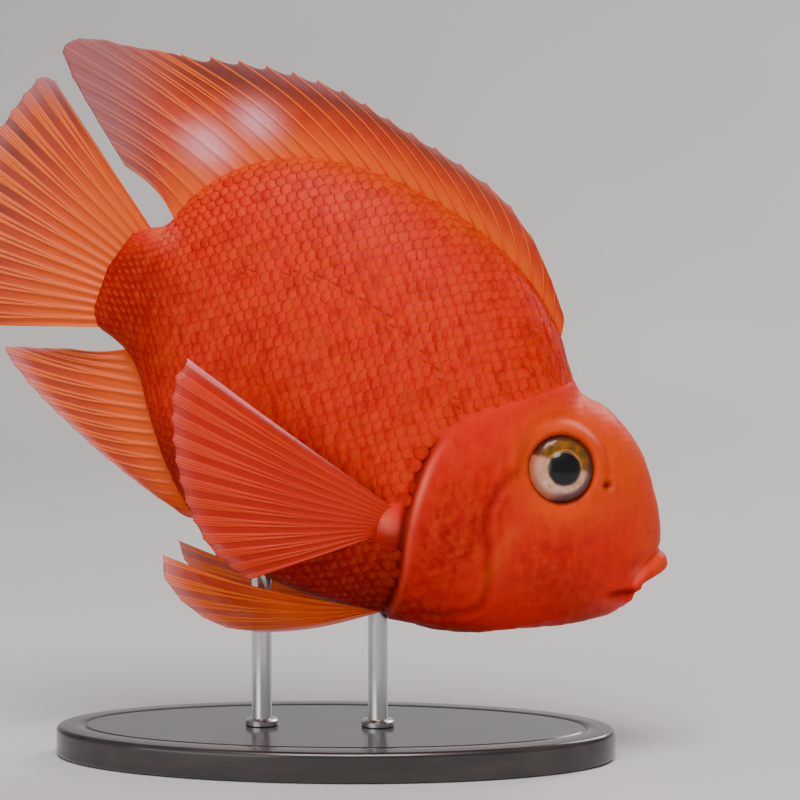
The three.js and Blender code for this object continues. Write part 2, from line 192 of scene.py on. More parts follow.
class Line:
    """A smooth line through points, drawn as the solids draw theirs.

    Attributes:
        points: The points that the line passes through, with one more beyond each end.
        steps: Shares of the way at which the length is measured.
        lengths: The length up to each step.
    """

    def __init__(self, points: Sequence[Sequence[float]]) -> None:
        """Draws the line and measures it.

        Args:
            points: The points that the line passes through.
        """
        p = np.asarray(points, float)
        self.points = np.vstack([2 * p[0] - p[1], p, 2 * p[-1] - p[-2]])
        self.steps = np.linspace(0.0, 1.0, 40 * len(p) + 1)
        gaps = np.linalg.norm(np.diff(self.at(self.steps), axis=0), axis=1)
        self.lengths = np.concatenate([[0.0], np.cumsum(gaps)])

    def at(self, share: Array) -> Array:
        """Points at shares of the way, counted by the points that the line passes through.

        Args:
            share: Shares from 0 to 1.

        Returns:
            One point for each share.
        """
        spans = len(self.points) - 3
        place = np.clip(np.asarray(share, float), 0.0, 1.0) * spans
        index = np.minimum(place.astype(int), spans - 1)
        w = (place - index)[..., None]
        before, start, end, after = (self.points[index + k] for k in range(4))
        leave, arrive = (end - before) / 2, (after - start) / 2
        return (
            (2 * w**3 - 3 * w**2 + 1) * start
            + (w**3 - 2 * w**2 + w) * leave
            + (3 * w**2 - 2 * w**3) * end
            + (w**3 - w**2) * arrive
        )

    def even(self, share: Array) -> Array:
        """Points at shares of the line's length."""
        wanted = np.clip(np.asarray(share, float), 0.0, 1.0) * self.lengths[-1]
        return self.at(np.interp(wanted, self.lengths, self.steps))

    def nearest(self, points: Array, samples: int = 160, batch: int = 20000) -> tuple[Array, Array, Array]:
        """How far points lie from the line.

        Args:
            points: Points of the line's own dimension, one to a row.
            samples: How many points of the line to compare with.
            batch: How many points to compare at a time.

        Returns:
            The distance, the share of the line's length at the nearest point, and the side, which is
            positive to the left of the line for one seen from the side.
        """
        shares = np.linspace(0.0, 1.0, samples)
        line = self.even(shares)
        along = unit(np.gradient(line, axis=0))
        distance = np.empty(len(points))
        nearest = np.empty(len(points), int)
        for start in range(0, len(points), batch):
            part = slice(start, start + batch)
            gaps = np.linalg.norm(points[part, None, :] - line[None, :, :], axis=2)
            nearest[part] = gaps.argmin(axis=1)
            distance[part] = gaps.min(axis=1)
        away = points - line[nearest]
        side = along[nearest, 0] * away[:, 1] - along[nearest, 1] * away[:, 0]
        return distance, shares[nearest], side


def outward(points: Array, faces: list[tuple[int, ...]]) -> list[tuple[int, ...]]:
    """Turns a closed surface's faces right side out.

    Args:
        points: The surface's points.
        faces: Its faces, all turned alike.

    Returns:
        The faces, reversed where the surface was inside out.
    """
    centre = points.mean(axis=0)
    volume = 0.0
    for face in faces:
        a = points[face[0]] - centre
        for i in range(1, len(face) - 1):
            volume += float(np.dot(a, np.cross(points[face[i]] - centre, points[face[i + 1]] - centre)))
    return faces if volume > 0 else [tuple(reversed(face)) for face in faces]


def ring_faces(rings: int, count: int) -> list[tuple[int, ...]]:
    """Quads of an open tube of rings.

    Args:
        rings: How many rings there are.
        count: How many points each ring has.

    Returns:
        The quads.
    """
    i, j = np.meshgrid(np.arange(rings - 1), np.arange(count), indexing="ij")
    a, b = i * count + j, i * count + (j + 1) % count
    return [tuple(face) for face in np.stack([a, b, b + count, a + count], axis=-1).reshape(-1, 4)]


def pointed_faces(rings: int, count: int) -> list[tuple[int, ...]]:
    """Faces of a tube of rings that comes to a point at each end.

    Args:
        rings: How many rings there are.
        count: How many points each ring has.

    Returns:
        The faces, for the rings' points followed by the first and the last end point.
    """
    faces = ring_faces(rings, count)
    first, last = rings * count, rings * count + 1
    start = (rings - 1) * count
    for j in range(count):
        k = (j + 1) % count
        faces.append((first, k, j))
        faces.append((last, start + j, start + k))
    return faces


def new_mesh(name: str, points: Array, faces: Sequence[Sequence[int]]) -> Mesh:
    """Makes a smooth-shaded mesh.

    Args:
        name: The mesh's name.
        points: Vertices in metres in the row frame.
        faces: Vertex numbers of each face.

    Returns:
        The mesh.
    """
    mesh = bpy.data.meshes.new(name)
    mesh.from_pydata(points.tolist(), [], [tuple(int(v) for v in face) for face in faces])
    mesh.shade_smooth()
    mesh.validate()
    mesh.update()
    return mesh


def keep_vector(mesh: Mesh, name: str, values: Array) -> None:
    """Stores three numbers on each vertex.

    Args:
        mesh: The mesh to store them on.
        name: The attribute's name.
        values: One row of three for each vertex.
    """
    attribute = mesh.attributes.new(name, "FLOAT_VECTOR", "POINT")
    attribute.data.foreach_set("vector", np.ascontiguousarray(values, dtype=np.float32).ravel())


def show(name: str, mesh: Mesh, material: Material | None = None) -> Object:
    """Adds an object at the origin for a mesh.

    Args:
        name: The object's name.
        mesh: Its mesh.
        material: Its material, if it has one.

    Returns:
        The object.
    """
    piece = bpy.data.objects.new(name, mesh)
    bpy.context.scene.collection.objects.link(piece)
    if material is not None:
        mesh.materials.append(material)
    return piece


def hand_over(piece: Object, slot: Slot, *nodes: str) -> None:
    """Fixes a finished piece to the body and hides any solids that it replaces.

    Args:
        piece: The finished piece.
        slot: The record's slot of its finish; not used.
        nodes: The solids that it replaces.
    """
    if nodes:
        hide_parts(*nodes)
    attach(piece, BODY)
    log.info("%s: %d vertices", piece.name, len(piece.data.vertices))


def applied(piece: Object, tree: NodeTree, values: dict[str, object]) -> Mesh:
    """Runs a node tree on an object and keeps the result as its plain mesh.

    Args:
        piece: The object, whose mesh is what the tree starts from.
        tree: The node tree.
        values: Values of the tree's inputs by name.

    Returns:
        The object's new mesh.
    """
    modifier = piece.modifiers.new(tree.name, "NODES")
    modifier.node_group = tree
    for item in tree.interface.items_tree:
        if item.in_out == "INPUT" and item.name in values:
            modifier[item.identifier] = values[item.name]
    graph = bpy.context.evaluated_depsgraph_get()
    mesh = bpy.data.meshes.new_from_object(piece.evaluated_get(graph), depsgraph=graph)
    piece.modifiers.remove(modifier)
    old, piece.data = piece.data, mesh
    bpy.data.meshes.remove(old)
    mesh.shade_smooth()
    mesh.name = piece.name
    return mesh


class Net:
    """A node tree, filled with short calls.

    Attributes:
        tree: The node tree.
    """

    def __init__(self, tree: NodeTree) -> None:
        """Takes the tree to fill.

        Args:
            tree: The node tree.
        """
        self.tree = tree

    def add(self, kind: str, *inputs: object, **settings: object) -> Node:
        """Adds a node.

        Args:
            kind: The node's type.
            inputs: Values or sockets for its first inputs, None where one is left alone.
            settings: Properties of the node, such as its operation.

        Returns:
            The node.
        """
        node = self.tree.nodes.new(kind)
        for key, value in settings.items():
            setattr(node, key, value)
        for socket, value in zip(node.inputs, inputs):
            self.join(value, socket)
        return node

    def join(self, value: object, socket: Socket) -> None:
        """Links a socket to an input, or sets the input's own value.

        Args:
            value: The socket or value, or None to leave the input alone.
            socket: The input.
        """
        if isinstance(value, Socket):
            self.tree.links.new(value, socket)
        elif value is not None:
            socket.default_value = value

    def feed(self, node: Node, **inputs: object) -> None:
        """Sets or links inputs of a node, named with _ for a space.

        Args:
            node: The node.
            inputs: Values or sockets by the input's name.
        """
        for name, value in inputs.items():
            self.join(value, node.inputs[name.replace("_", " ")])

    def vector(self, name: str) -> Socket:
        """Reads three numbers that a geometry keeps, in a tree of Geometry Nodes.

        Args:
            name: The name that they are kept under.

        Returns:
            Their socket.
        """
        node = self.add("GeometryNodeInputNamedAttribute", data_type="FLOAT_VECTOR")
        self.feed(node, Name=name)
        return node.outputs["Attribute"]


class Graph(Net):
    """A material's node tree.

    Attributes:
        material: The material.
        shader: Its Principled shader.
    """

    def __init__(self, name: str) -> None:
        """Starts a material with one Principled shader.

        Args:
            name: The material's name.
        """
        self.material = bpy.data.materials.new(name)
        self.material.use_nodes = True
        super().__init__(self.material.node_tree)
        self.shader = self.tree.nodes["Principled BSDF"]

    def set(self, **inputs: object) -> None:
        """Sets or links inputs of the shader, named with _ for a space."""
        self.feed(self.shader, **inputs)

    def maths(self, operation: str, *terms: object) -> Socket:
        """The result of a sum on one to three numbers."""
        return self.add("ShaderNodeMath", *terms, operation=operation).outputs[0]

    def times(self, a: object, b: object) -> Socket:
        """Two numbers multiplied."""
        return self.maths("MULTIPLY", a, b)

    def plus(self, a: object, b: object) -> Socket:
        """Two numbers added."""
        return self.maths("ADD", a, b)

    def minus(self, a: object, b: object) -> Socket:
        """The second number taken from the first."""
        return self.maths("SUBTRACT", a, b)

    def span(self, value: object, low: float, high: float, start: float = 0.0, end: float = 1.0) -> Socket:
        """Maps a value smoothly from low..high to start..end."""
        node = self.add("ShaderNodeMapRange", value, low, high, start, end, interpolation_type="SMOOTHSTEP")
        return node.outputs[0]

    def blend(self, share: object, first: object, second: object) -> Socket:
        """Mixes two colours.

        Args:
            share: How much of the second one shows.
            first: The first colour, or a socket.
            second: The second colour, or a socket.

        Returns:
            The mixed colour's socket.
        """
        node = self.add("ShaderNodeMix", share, data_type="RGBA")
        for value, socket in ((first, node.inputs[6]), (second, node.inputs[7])):
            self.join((*value, 1.0) if isinstance(value, tuple) else value, socket)
        return node.outputs[2]

    def place(self) -> Socket:
        """The Object coordinates."""
        return self.add("ShaderNodeTexCoord").outputs["Object"]

    def stretched(self, scale: Point, lean: float = 0.0) -> Socket:
        """The Object coordinates, stretched and leant about the across axis.

        Args:
            scale: How often a pattern repeats in a metre along each axis.
            lean: How far the pattern leans, in radians.

        Returns:
            The coordinates' socket.
        """
        node = self.add("ShaderNodeMapping", self.place())
        self.feed(node, Scale=scale, Rotation=(0.0, lean, 0.0))
        return node.outputs[0]

    def kept(self, name: str) -> tuple[Socket, Socket, Socket]:
        """Reads the three numbers that a mesh keeps on each vertex.

        Args:
            name: The name that they are kept under.

        Returns:
            A socket for each number.
        """
        attribute = self.add("ShaderNodeAttribute", attribute_name=name)
        parts = self.add("ShaderNodeSeparateXYZ", attribute.outputs["Vector"])
        return parts.outputs[0], parts.outputs[1], parts.outputs[2]

    def noise(self, scale: float, detail: float = 2.0, roughness: float = 0.5, at: object = None) -> Socket:
        """Soft noise.

        Args:
            scale: How often it repeats in a unit of its coordinates, which is a metre for Object coordinates.
            detail: How many finer layers it has.
            roughness: How strong the finer layers are.
            at: Its coordinates, Object coordinates where none are given.

        Returns:
            The noise's socket.
        """
        node = self.add("ShaderNodeTexNoise", self.place() if at is None else at)
        self.feed(node, Scale=scale, Detail=detail, Roughness=roughness)
        return node.outputs["Fac"]

    def relief(self, height: object, distance: float, strength: float = 1.0, under: object = None) -> Socket:
        """A bump.

        Args:
            height: The height's socket.
            distance: How high a height of 1 stands, in metres.
            strength: How much of it shows.
            under: Another bump's normal, if this one lies over it.

        Returns:
            The normal's socket.
        """
        node = self.add("ShaderNodeBump")
        self.feed(node, Strength=strength, Distance=distance, Height=height, Normal=under)
        return node.outputs[0]


@dataclass(frozen=True)
class Section:
    """One ring of the body, through the back, the side line and the belly, each as [forward, up].

    Attributes:
        back: The ring's point on the back.
        side: Its point on the side line.
        belly: Its point on the belly.
        half_width: Half its width at the side line.
        crown: How square it is above the side line, 2 for round.
        keel: How square it is below the side line.
    """

    back: Flat
    side: Flat
    belly: Flat
    half_width: float
    crown: float = 2.0
    keel: float = 2.0


SECTIONS = (
    Section((-4.5, 10.5), (-6, 0), (-4.5, -11), 1.2),
    Section((-1, 13.2), (-1.5, -0.3), (-1, -13.6), 4.4),
    Section((1.8, 16), (4, -1), (5, -14.8), 7.2, 1.9, 1.9),
    Section((4.4, 25), (9, -2), (11, -18.3), 9.6, 1.8, 1.9),
    Section((11.5, 35.8), (17, -3.5), (19, -26.8), 12.8, 1.8, 1.9),
    Section((24, 44), (28, -5), (29, -36.3), 16.4, 1.8, 1.9),
    Section((40, 48.2), (41, -6.5), (41, -43.3), 19.8, 1.8),
    Section((56, 48.4), (55, -7.5), (55, -46.4), 22, 1.8),
    Section((70, 46.4), (68, -8), (69, -45.9), 23.2, 1.85),
    Section((82, 42.2), (80, -8.5), (81, -43.4), 23.4, 1.9),
    Section((92, 36), (90, -8.5), (91, -40.8), 22.8),
    Section((99, 29.2), (98, -8), (99.5, -39.2), 21.6, 2.1),
    Section((103.8, 25.1), (105, -7.5), (107, -36), 20.2, 2.2),
    Section((110, 24.8), (112, -7), (114, -31.7), 18.2, 2.2),
    Section((117, 22.6), (118.5, -6.7), (120.5, -27.5), 15.8, 2.2),
    Section((123.5, 18.6), (124, -6.6), (126, -23.8), 13, 2.2),
    Section((129.3, 12.8), (128.5, -6.7), (130.2, -20.4), 10.4, 2.2),
    Section((133.4, 7.8), (131.8, -6.7), (132.8, -18), 8.2, 2.2),
    Section((135.8, 3.6), (133.6, -6.6), (134.2, -16.2), 6.7, 2.2, 2.1),
    Section((136.3, 1.7), (134.2, -6.7), (134.7, -15.1), 6.2, 2.2, 2.2),
    Section((138.6, 0.9), (135.5, -6.8), (135.6, -13.6), 6.4, 2.2, 2.2),
    Section((140, -1.2), (136.3, -7.2), (135.6, -12), 5.6, 2.2, 2.2),
    Section((138.6, -3.9), (135.2, -7.4), (134.5, -10.6), 3.7),
    Section((135.2, -5), (133, -7.5), (132.4, -10), 2.9),
    Section((130, -6.2), (129.4, -7.8), (129.4, -9.4), 1.8),
)


class Flesh:
    """The body's plain form, a tube of rings from the tail root to the mouth.

    Attributes:
        count: How many spaces there are between the sections.
        back: The line along the back.
        side: The side line.
        belly: The line along the belly.
        girth: The half width, crown and keel along the body.
    """

    def __init__(self, sections: Sequence[Section]) -> None:
        """Draws the lines that the rings hang on.

        Args:
            sections: The rings that the form passes through.
        """
        self.count = len(sections) - 1
        self.back = Line([s.back for s in sections])
        self.side = Line([s.side for s in sections])
        self.belly = Line([s.belly for s in sections])
        self.girth = Line([(s.half_width, s.crown, s.keel) for s in sections])

    def at(self, along: Array, turn: Array) -> Array:
        """Points of the form.

        Args:
            along: Shares of the way from the tail root to the mouth.
            turn: Angles from the back, going round by the right flank.

        Returns:
            Points as [forward, across, up].
        """
        along, turn = np.broadcast_arrays(np.asarray(along, float), np.asarray(turn, float))
        girth = self.girth.at(along)
        upper = np.cos(turn) >= 0
        power = 2 / np.where(upper, girth[..., 1], girth[..., 2])
        rise = np.abs(np.cos(turn)) ** power
        spread = np.abs(np.sin(turn)) ** power * np.sign(np.sin(turn)) * Flank.RIGHT.value
        side = self.side.at(along)
        end = np.where(upper[..., None], self.back.at(along), self.belly.at(along))
        flat = side + (end - side) * rise[..., None]
        return np.stack([flat[..., 0], girth[..., 0] * spread, flat[..., 1]], axis=-1)

    def out(self, along: Array, turn: Array, step: float = 0.001, swing: float = 0.016) -> Array:
        """Directions straight out of the form.

        Args:
            along: Shares of the way from the tail root to the mouth.
            turn: Angles from the back.
            step: How far to either side the slope along the body is measured, as a share.
            swing: How far to either side the slope round the body is measured, as an angle.

        Returns:
            Directions of length 1.
        """
        forward = self.at(along + step, turn) - self.at(along - step, turn)
        round_it = self.at(along, turn + swing) - self.at(along, turn - swing)
        return unit(np.cross(round_it, forward))


@dataclass(frozen=True)
class EyeSeat:
    """Where each eye sits in the head.

    Attributes:
        at: Its centre as [forward, out, up].
        turn: How far it looks both forward and up.
        rim: The radius of the raised rim round it.
    """

    at: Point = (107.3, 15.8, 8.6)
    turn: float = math.radians(12)
    rim: float = 8.4

    def axes(self, flank: Flank) -> tuple[Array, Array, Array, Array]:
        """Where the eye of one flank sits and how it looks.

        Args:
            flank: The side of the head.

        Returns:
            Its centre and its forward, up and outward directions.
        """
        s = math.sin(self.turn)
        out = unit([s, flank.value * math.cos(self.turn), s])
        ahead = unit(np.array([1.0, 0.0, 0.0]) - out * out[0])
        up = np.cross(out, ahead) * -flank.value
        return np.array([self.at[0], flank.value * self.at[1], self.at[2]]), ahead, up, out


@dataclass(frozen=True)
class Relief:
    """The forms that stand on the plain form or are pressed into it, in millimetres.

    Attributes:
        margin: The gill cover's free edge, seen from the side.
        margin_rise: How far the cover stands over the flank there.
        margin_slant: How much of a step forward is a step away from that edge.
        preopercle: The line of the ridge between the cheek and the gill cover.
        mouth: The line of the mouth from the lips back to its corner.
        nostril: Where the nostril is, seen from the side.
        lobe: Where the pectoral fin's fleshy root is, seen from the side.
        muscle: The swell of the cheek's muscle.
        opercle: The swell of the gill cover.
        lip_fold: The fold behind the upper lip.
        lobe_hollow: The hollow behind the pectoral fin's root.
        lid_rise: How far the rim round the eye stands out.
        socket_depth: How far the eye's socket goes in.
    """

    margin: tuple[Flat, ...] = (
        (103.2, 27), (93, 17), (84.5, 8), (80.6, 0), (81.2, -10), (83.6, -20), (87.2, -31), (88.5, -42),
        (88.8, -48),
    )
    margin_rise: float = 0.9
    margin_slant: float = 0.96
    preopercle: tuple[Flat, ...] = (
        (99, 2), (98.6, -6), (102.5, -14), (106.5, -22), (106.5, -29), (99, -35.5), (91, -38.5),
    )
    mouth: tuple[Flat, ...] = ((135.6, -9.6), (133.6, -10.4), (131.4, -11.8), (129.6, -13.2))
    nostril: Flat = (118.3, 9.8)
    lobe: Flat = (79.2, -19.6)
    muscle: Spot = Spot((113.5, -12.5), (9.5, 9.0), 0.75)
    opercle: Spot = Spot((92.0, -14.0), (6.5, 13.0), 0.35)
    lip_fold: Spot = Spot((133.4, -3.0), (1.3, 2.889), 0.55)
    lobe_hollow: Spot = Spot((72.7, -19.6), (3.0, 6.5), 0.5)
    lid_rise: float = 0.75
    socket_depth: float = 4.4

    def ahead(self, points: Array) -> Array:
        """How far points lie in front of the gill cover's free edge.

        Args:
            points: Points as [forward, across, up].

        Returns:
            The distance at each point, negative behind the edge.
        """
        line = Line(self.margin).even(np.linspace(0.0, 1.0, 120))
        edge = np.interp(-points[..., 2], -line[:, 1], line[:, 0])
        return (points[..., 0] - edge) * self.margin_slant

    def free_edge(self, points: Array) -> Array:
        """How free the gill cover's edge is at a height, from 0 to 1."""
        return smooth(points[..., 2], 6.0, -3.0) * smooth(points[..., 2], -44.0, -36.0)

    def from_lobe(self, points: Array) -> Array:
        """How far points lie from the pectoral fin's root, seen from the side."""
        return np.hypot(points[..., 0] - self.lobe[0], points[..., 2] - self.lobe[1])

    def from_line(self, points: Array, line: Sequence[Flat]) -> tuple[Array, Array, Array]:
        """Distance, share and side of points from a line seen from the side."""
        flat = points[..., [0, 2]].reshape(-1, 2)
        return tuple(part.reshape(points.shape[:-1]) for part in Line(line).nearest(flat))

    def gill(self, points: Array) -> Array:
        """The gill cover's rise, its free edge and the furrow behind it.

        Args:
            points: Points of the plain form.

        Returns:
            The height at each point.
        """
        ahead, free = self.ahead(points), self.free_edge(points)
        low = smooth(points[..., 0], 99, 85) * smooth(points[..., 2], 2, -6)
        cover = np.maximum(self.margin_rise * low, 0.5 * free * smooth(points[..., 0], 92, 82))
        lip = 0.12 * bump(ahead, 0.9, 0.7) * free
        furrow = 0.75 * bump(ahead, -1.1, 0.9) * free
        return cover * smooth(ahead, -0.4, 0.35) + lip - furrow

    def cheek(self, points: Array) -> Array:
        """The preopercle's ridge, the swell of the gill cover and the muscle of the cheek.

        Args:
            points: Points of the plain form.

        Returns:
            The height at each point.
        """
        away, share, side = self.from_line(points, self.preopercle)
        before = np.where(side > 0, away, -away)
        ridge = 0.42 * bump(before, 0.4, 1.1) - 0.5 * bump(before, -1.5, 1.0)
        ends = smooth(share, 0.0, 0.12) * smooth(share, 1.0, 0.85)
        return ridge * ends + self.muscle.on(points) + self.opercle.on(points)

    def face(self, points: Array) -> Array:
        """The mouth's corner, the folds of the lips, the nostril and the fold under the eye.

        Args:
            points: Points of the plain form.

        Returns:
            The height at each point.
        """
        away, share, side = self.from_line(points, self.mouth)
        x, y, z = points[..., 0], np.abs(points[..., 1]), points[..., 2]
        crease = -0.75 * bump(away, 0.0, 0.75) * smooth(share, 1.0, 0.8) * smooth(x, 136.5, 134.5)
        over = 0.5 * bump(np.where(side < 0, away, 9.0), 1.7, 1.0) * smooth(share, 1.0, 0.7)
        under = 0.4 * bump(np.where(side > 0, away, 9.0), 1.8, 1.0) * smooth(share, 1.0, 0.7)
        from_pit = np.hypot((x - self.nostril[0]) / 1.25, z - self.nostril[1])
        nostril = 0.3 * bump(from_pit, 1.5, 0.55) - 1.1 * bump(from_pit, 0.0, 0.75)
        below_eye = smooth(z, 2.0, -4.0) * smooth(x, 98, 103) * smooth(x, 126, 118)
        suborbital = 0.3 * bump(np.hypot(x - 109.5, z - 5.5), 14.8, 1.0) * below_eye
        flank = smooth(y, 1.5, 5.0)
        return (crease + over + under + nostril) * flank - self.lip_fold.on(points) - suborbital

    def fin_root(self, points: Array) -> Array:
        """The fleshy root of the pectoral fin, and the hollow behind it.

        Args:
            points: Points of the plain form.

        Returns:
            The height at each point.
        """
        x, z = points[..., 0] - self.lobe[0], points[..., 2] - self.lobe[1]
        lobe = 1.9 * smooth(np.hypot(x / 4.6, z / 5.0), 1.15, 0.15)
        return (lobe - self.lobe_hollow.on(points)) * smooth(np.abs(points[..., 1]), 12, 17)

    def ripple(self, points: Array) -> Array:
        """The slow unevenness of living flesh, stronger along the muscle's midline.

        Args:
            points: Points of the plain form.

        Returns:
            The height at each point.
        """
        x, y, z = points[..., 0], points[..., 1], points[..., 2]
        slow = 0.16 * np.sin(x * 0.21 + 0.05 * z) * np.sin(z * 0.17 + 1.3 + 0.03 * y)
        midline = 0.14 * bump(z - 0.02 * (x - 40) + 6.0, 0.0, 2.6) * smooth(x, 6, 20)
        fine = 0.09 * np.sin(x * 0.83 + 0.4 * y) * np.sin(z * 0.71 + 0.5)
        fine = fine + 0.045 * np.sin(x * 2.1 - z * 0.9) * np.sin(z * 1.9 + y * 0.6)
        body, head = smooth(x, 92, 70) * smooth(x, 0, 12), smooth(x, 84, 92) * smooth(x, 136, 128)
        return (slow - midline) * body + fine * head

    def height(self, points: Array) -> Array:
        """How far the flesh stands out from the plain form."""
        parts = (self.gill, self.cheek, self.face, self.fin_root, self.ripple)
        return sum(part(points) for part in parts)

    def sockets(self, points: Array, seat: EyeSeat) -> Array:
        """Presses the sockets into the head and raises the rims round them.

        Args:
            points: Points of the skin.
            seat: Where the eyes sit.

        Returns:
            The points with the sockets made.
        """
        made = points.copy()
        for flank in Flank:
            centre, ahead, up, out = seat.axes(flank)
            local = points - centre
            height = local @ out
            radius = np.linalg.norm(local - height[..., None] * out, axis=-1)
            angle = np.arctan2(local @ up, local @ ahead)
            outside = smooth(height, -9.0, -4.0)
            near = outside * smooth(radius, seat.rim + 3.4, seat.rim + 0.3)
            lid = 0.35 * np.sin(angle) + 0.10 * np.sin(3 * angle + 0.7)
            folds = 0.10 * np.sin(9 * angle) * np.sin(4 * angle + 1.0)
            crest = self.lid_rise + lid + folds
            furrow = 0.3 * bump(radius, seat.rim + 3.0, 1.1) * outside * smooth(np.sin(angle), -0.2, 0.6)
            wanted = np.where(radius < seat.rim, crest - (seat.rim - radius) * 0.9, crest)
            wanted = wanted - self.socket_depth * smooth(radius, seat.rim - 0.8, seat.rim - 2.0)
            made = made + ((wanted - height) * near - furrow)[..., None] * out
        return made


@dataclass(frozen=True)
class Markings:
    """Where each colour of the fish lies, shared by the skin and the scales.

    Attributes:
        relief: The forms that some of the markings follow.
        seat: Where the eyes sit.
        pored_line: The line of pored scales on the flank.
        back: The outline of the back, which the band along the dorsal fin follows.
        flank_glow: The brighter middle of the flank.
        belly_shade: Painted shade that deepens the red over the belly.
        upper_lip: The orange of the upper lip.
        pale_spots: Spots that show pink on both flanks: brow, lip, jaw, tail stalk and nape; those on the
            brow and the lip are painted highlights.
        lobe_pale: The pale root of the pectoral fin, with a painted highlight on its bulge.
        opercle_blood: The blood red of the gill cover.
        cheek_blood: The blood red of the cheek.
        nostril_dark: The painted shade in the nostril's pit.
    """

    relief: Relief
    seat: EyeSeat
    pored_line: tuple[Flat, ...] = ((22, 12), (33, 19), (45, 21.6), (59, 20.5), (74, 15), (84, 9))
    back: tuple[Flat, ...] = (
        (-4, 11), (2, 16), (5, 25), (12, 36), (24, 44), (40, 48.2), (56, 48.4), (70, 46.4), (82, 42),
    )
    flank_glow: Spot = Spot((66, -2), (16, 12), 0.35)
    belly_shade: Spot = Spot((45, -26), (22, 9), 0.45)
    upper_lip: Spot = Spot((138.2, -1.6), (2.6, 2.6), 0.7)
    pale_spots: tuple[Spot, ...] = (
        Spot((107, 23.5), (8, 3.5), 0.08),
        Spot((134.2, -5.4), (1.5, 1.9), 0.42),
        Spot((131.5, -14.5), (2.2, 1.6), 0.12),
        Spot((2.5, 14.0), (5.0, 3.0), 0.5),
        Spot((40, 40), (22, 6), 0.06),
    )
    lobe_pale: Spot = Spot((78.6, -19.8), (3.4, 2.4), 0.75)
    opercle_blood: Spot = Spot((92, -14), (8.5, 16), 0.9)
    cheek_blood: Spot = Spot((116, -12), (12, 8), 0.55)
    nostril_dark: Spot = Spot((118.3, 9.8), (0.85, 0.85), 0.8)

    def tone(self, points: Array) -> Array:
        """How bright, how deep and how orange the ground colour is, the depth under the belly and jaw painted
        shade.

        Args:
            points: Points of the body as [forward, across, up].

        Returns:
            One row of three shares for each point.
        """
        x, z = points[..., 0], points[..., 2]
        light = smooth(z, -22, 32) * 0.8 + self.flank_glow.on(points)
        tail = 0.75 * smooth(x, 30, 6) * smooth(z, 16, 2)
        # Painted shade: the ground darkens toward the belly and under the jaw.
        low = smooth(z + 0.10 * (x - 60), -16, -44)
        chin = 0.6 * smooth(z, -7.0, -20.0) * smooth(x, 102, 132)
        deep = strongest(tail, low, chin) + self.belly_shade.on(points)
        from_eye = np.hypot(x - self.seat.at[0] - 1.5, z - self.seat.at[2] - 2.0)
        snout = 0.5 * smooth(x + 0.4 * z, 120, 134) * smooth(z, -10, 2)
        warm = 0.85 * smooth(from_eye, 21, 8.5) + snout
        under_back = np.interp(x, *np.transpose(self.back)) - z
        band = 0.8 * smooth(under_back, 7.0, 0.5) * smooth(x, 88, 60) * smooth(x, -2, 10)
        ridge = 0.65 * bump(x - 104.0, 0.0, 2.2) * smooth(z, -34, -20) * smooth(z, -2, -9)
        orange = strongest(warm, band, ridge, self.upper_lip.on(points))
        return np.stack([light, deep, orange], axis=-1).clip(0, 1)

    def mark(self, points: Array) -> Array:
        """How pale, how blood red and how dark each spot is, the pale partly painted highlight and the dark
        painted shade.

        Args:
            points: Points of the body as [forward, across, up].

        Returns:
            One row of three shares for each point.
        """
        x, y, z = points[..., 0], np.abs(points[..., 1]), points[..., 2]
        ahead, free = self.relief.ahead(points), self.relief.free_edge(points)
        # Painted highlight: a pale band along the gill cover's free edge and on the pectoral fin's root; pink
        # on the snout.
        rim = 0.9 * bump(ahead, 0.6, 0.75) * free * (0.25 + 0.75 * bump(z, -9.0, 7.0))
        lobe = self.lobe_pale.on(points) * smooth(y, 8, 14)
        nose = 0.2 * smooth(x + 0.45 * z, 128, 142) * smooth(z, -6, 6)
        pale = strongest(rim, lobe, nose, *(spot.on(points) for spot in self.pale_spots))
        opercle = self.opercle_blood.on(points) * smooth(ahead, 0.5, 3.0)
        # Painted shade: the throat darkens to blood red from below.
        throat = 0.8 * smooth(z + 0.25 * (x - 90), -24, -36) * smooth(x, 78, 90)
        blood = strongest(opercle, throat, self.cheek_blood.on(points))
        # Painted shade: dark in the furrow behind the gill cover, behind its lower part, along the mouth's
        # line, inside the mouth, in the nostril and in the preopercle's crease.
        furrow = 0.85 * bump(ahead, -1.1, 1.1) * free
        behind = 0.5 * smooth(ahead, -12, -2) * smooth(z, -14, -26) * smooth(ahead, 1.0, -0.5)
        away, share, _ = self.relief.from_line(points, self.relief.mouth)
        mouth = 0.55 * bump(away, 0.0, 0.75) * smooth(x, 137.5, 135.5) * smooth(share, 1.0, 0.55)
        mouth_inside_shade = 0.9 * smooth(x, 136.2, 133.0) * smooth(x, 127, 129) * smooth(y, 4.5, 3.0) * bump(z, -7.7, 2.2)
        nostril = self.nostril_dark.on(points) * smooth(y, 3, 6)
        away, share, side = self.relief.from_line(points, self.relief.preopercle)
        crease = 0.35 * bump(np.where(side < 0, away, 9.0), 1.6, 1.1) * smooth(share, 1.0, 0.85)
        dark = strongest(furrow, behind, mouth, mouth_inside_shade, nostril, crease)
        return np.stack([pale, blood, dark], axis=-1).clip(0, 1)

    def pores(self, points: Array, reach: float) -> Array:
        """Which points lie on the line of pored scales.

        Args:
            points: Points of the body as [forward, across, up].
            reach: How far from the line counts, in millimetres.

        Returns:
            One row for each point, of a share from 0 to 1 and two zeros.
        """
        away, share, _ = self.relief.from_line(points, self.pored_line)
        pored = smooth(away, reach + 0.1, reach - 0.1) * smooth(share, 0.0, 0.04) * smooth(share, 1.0, 0.96)
        return np.stack([pored, 0.0 * pored, 0.0 * pored], axis=-1)


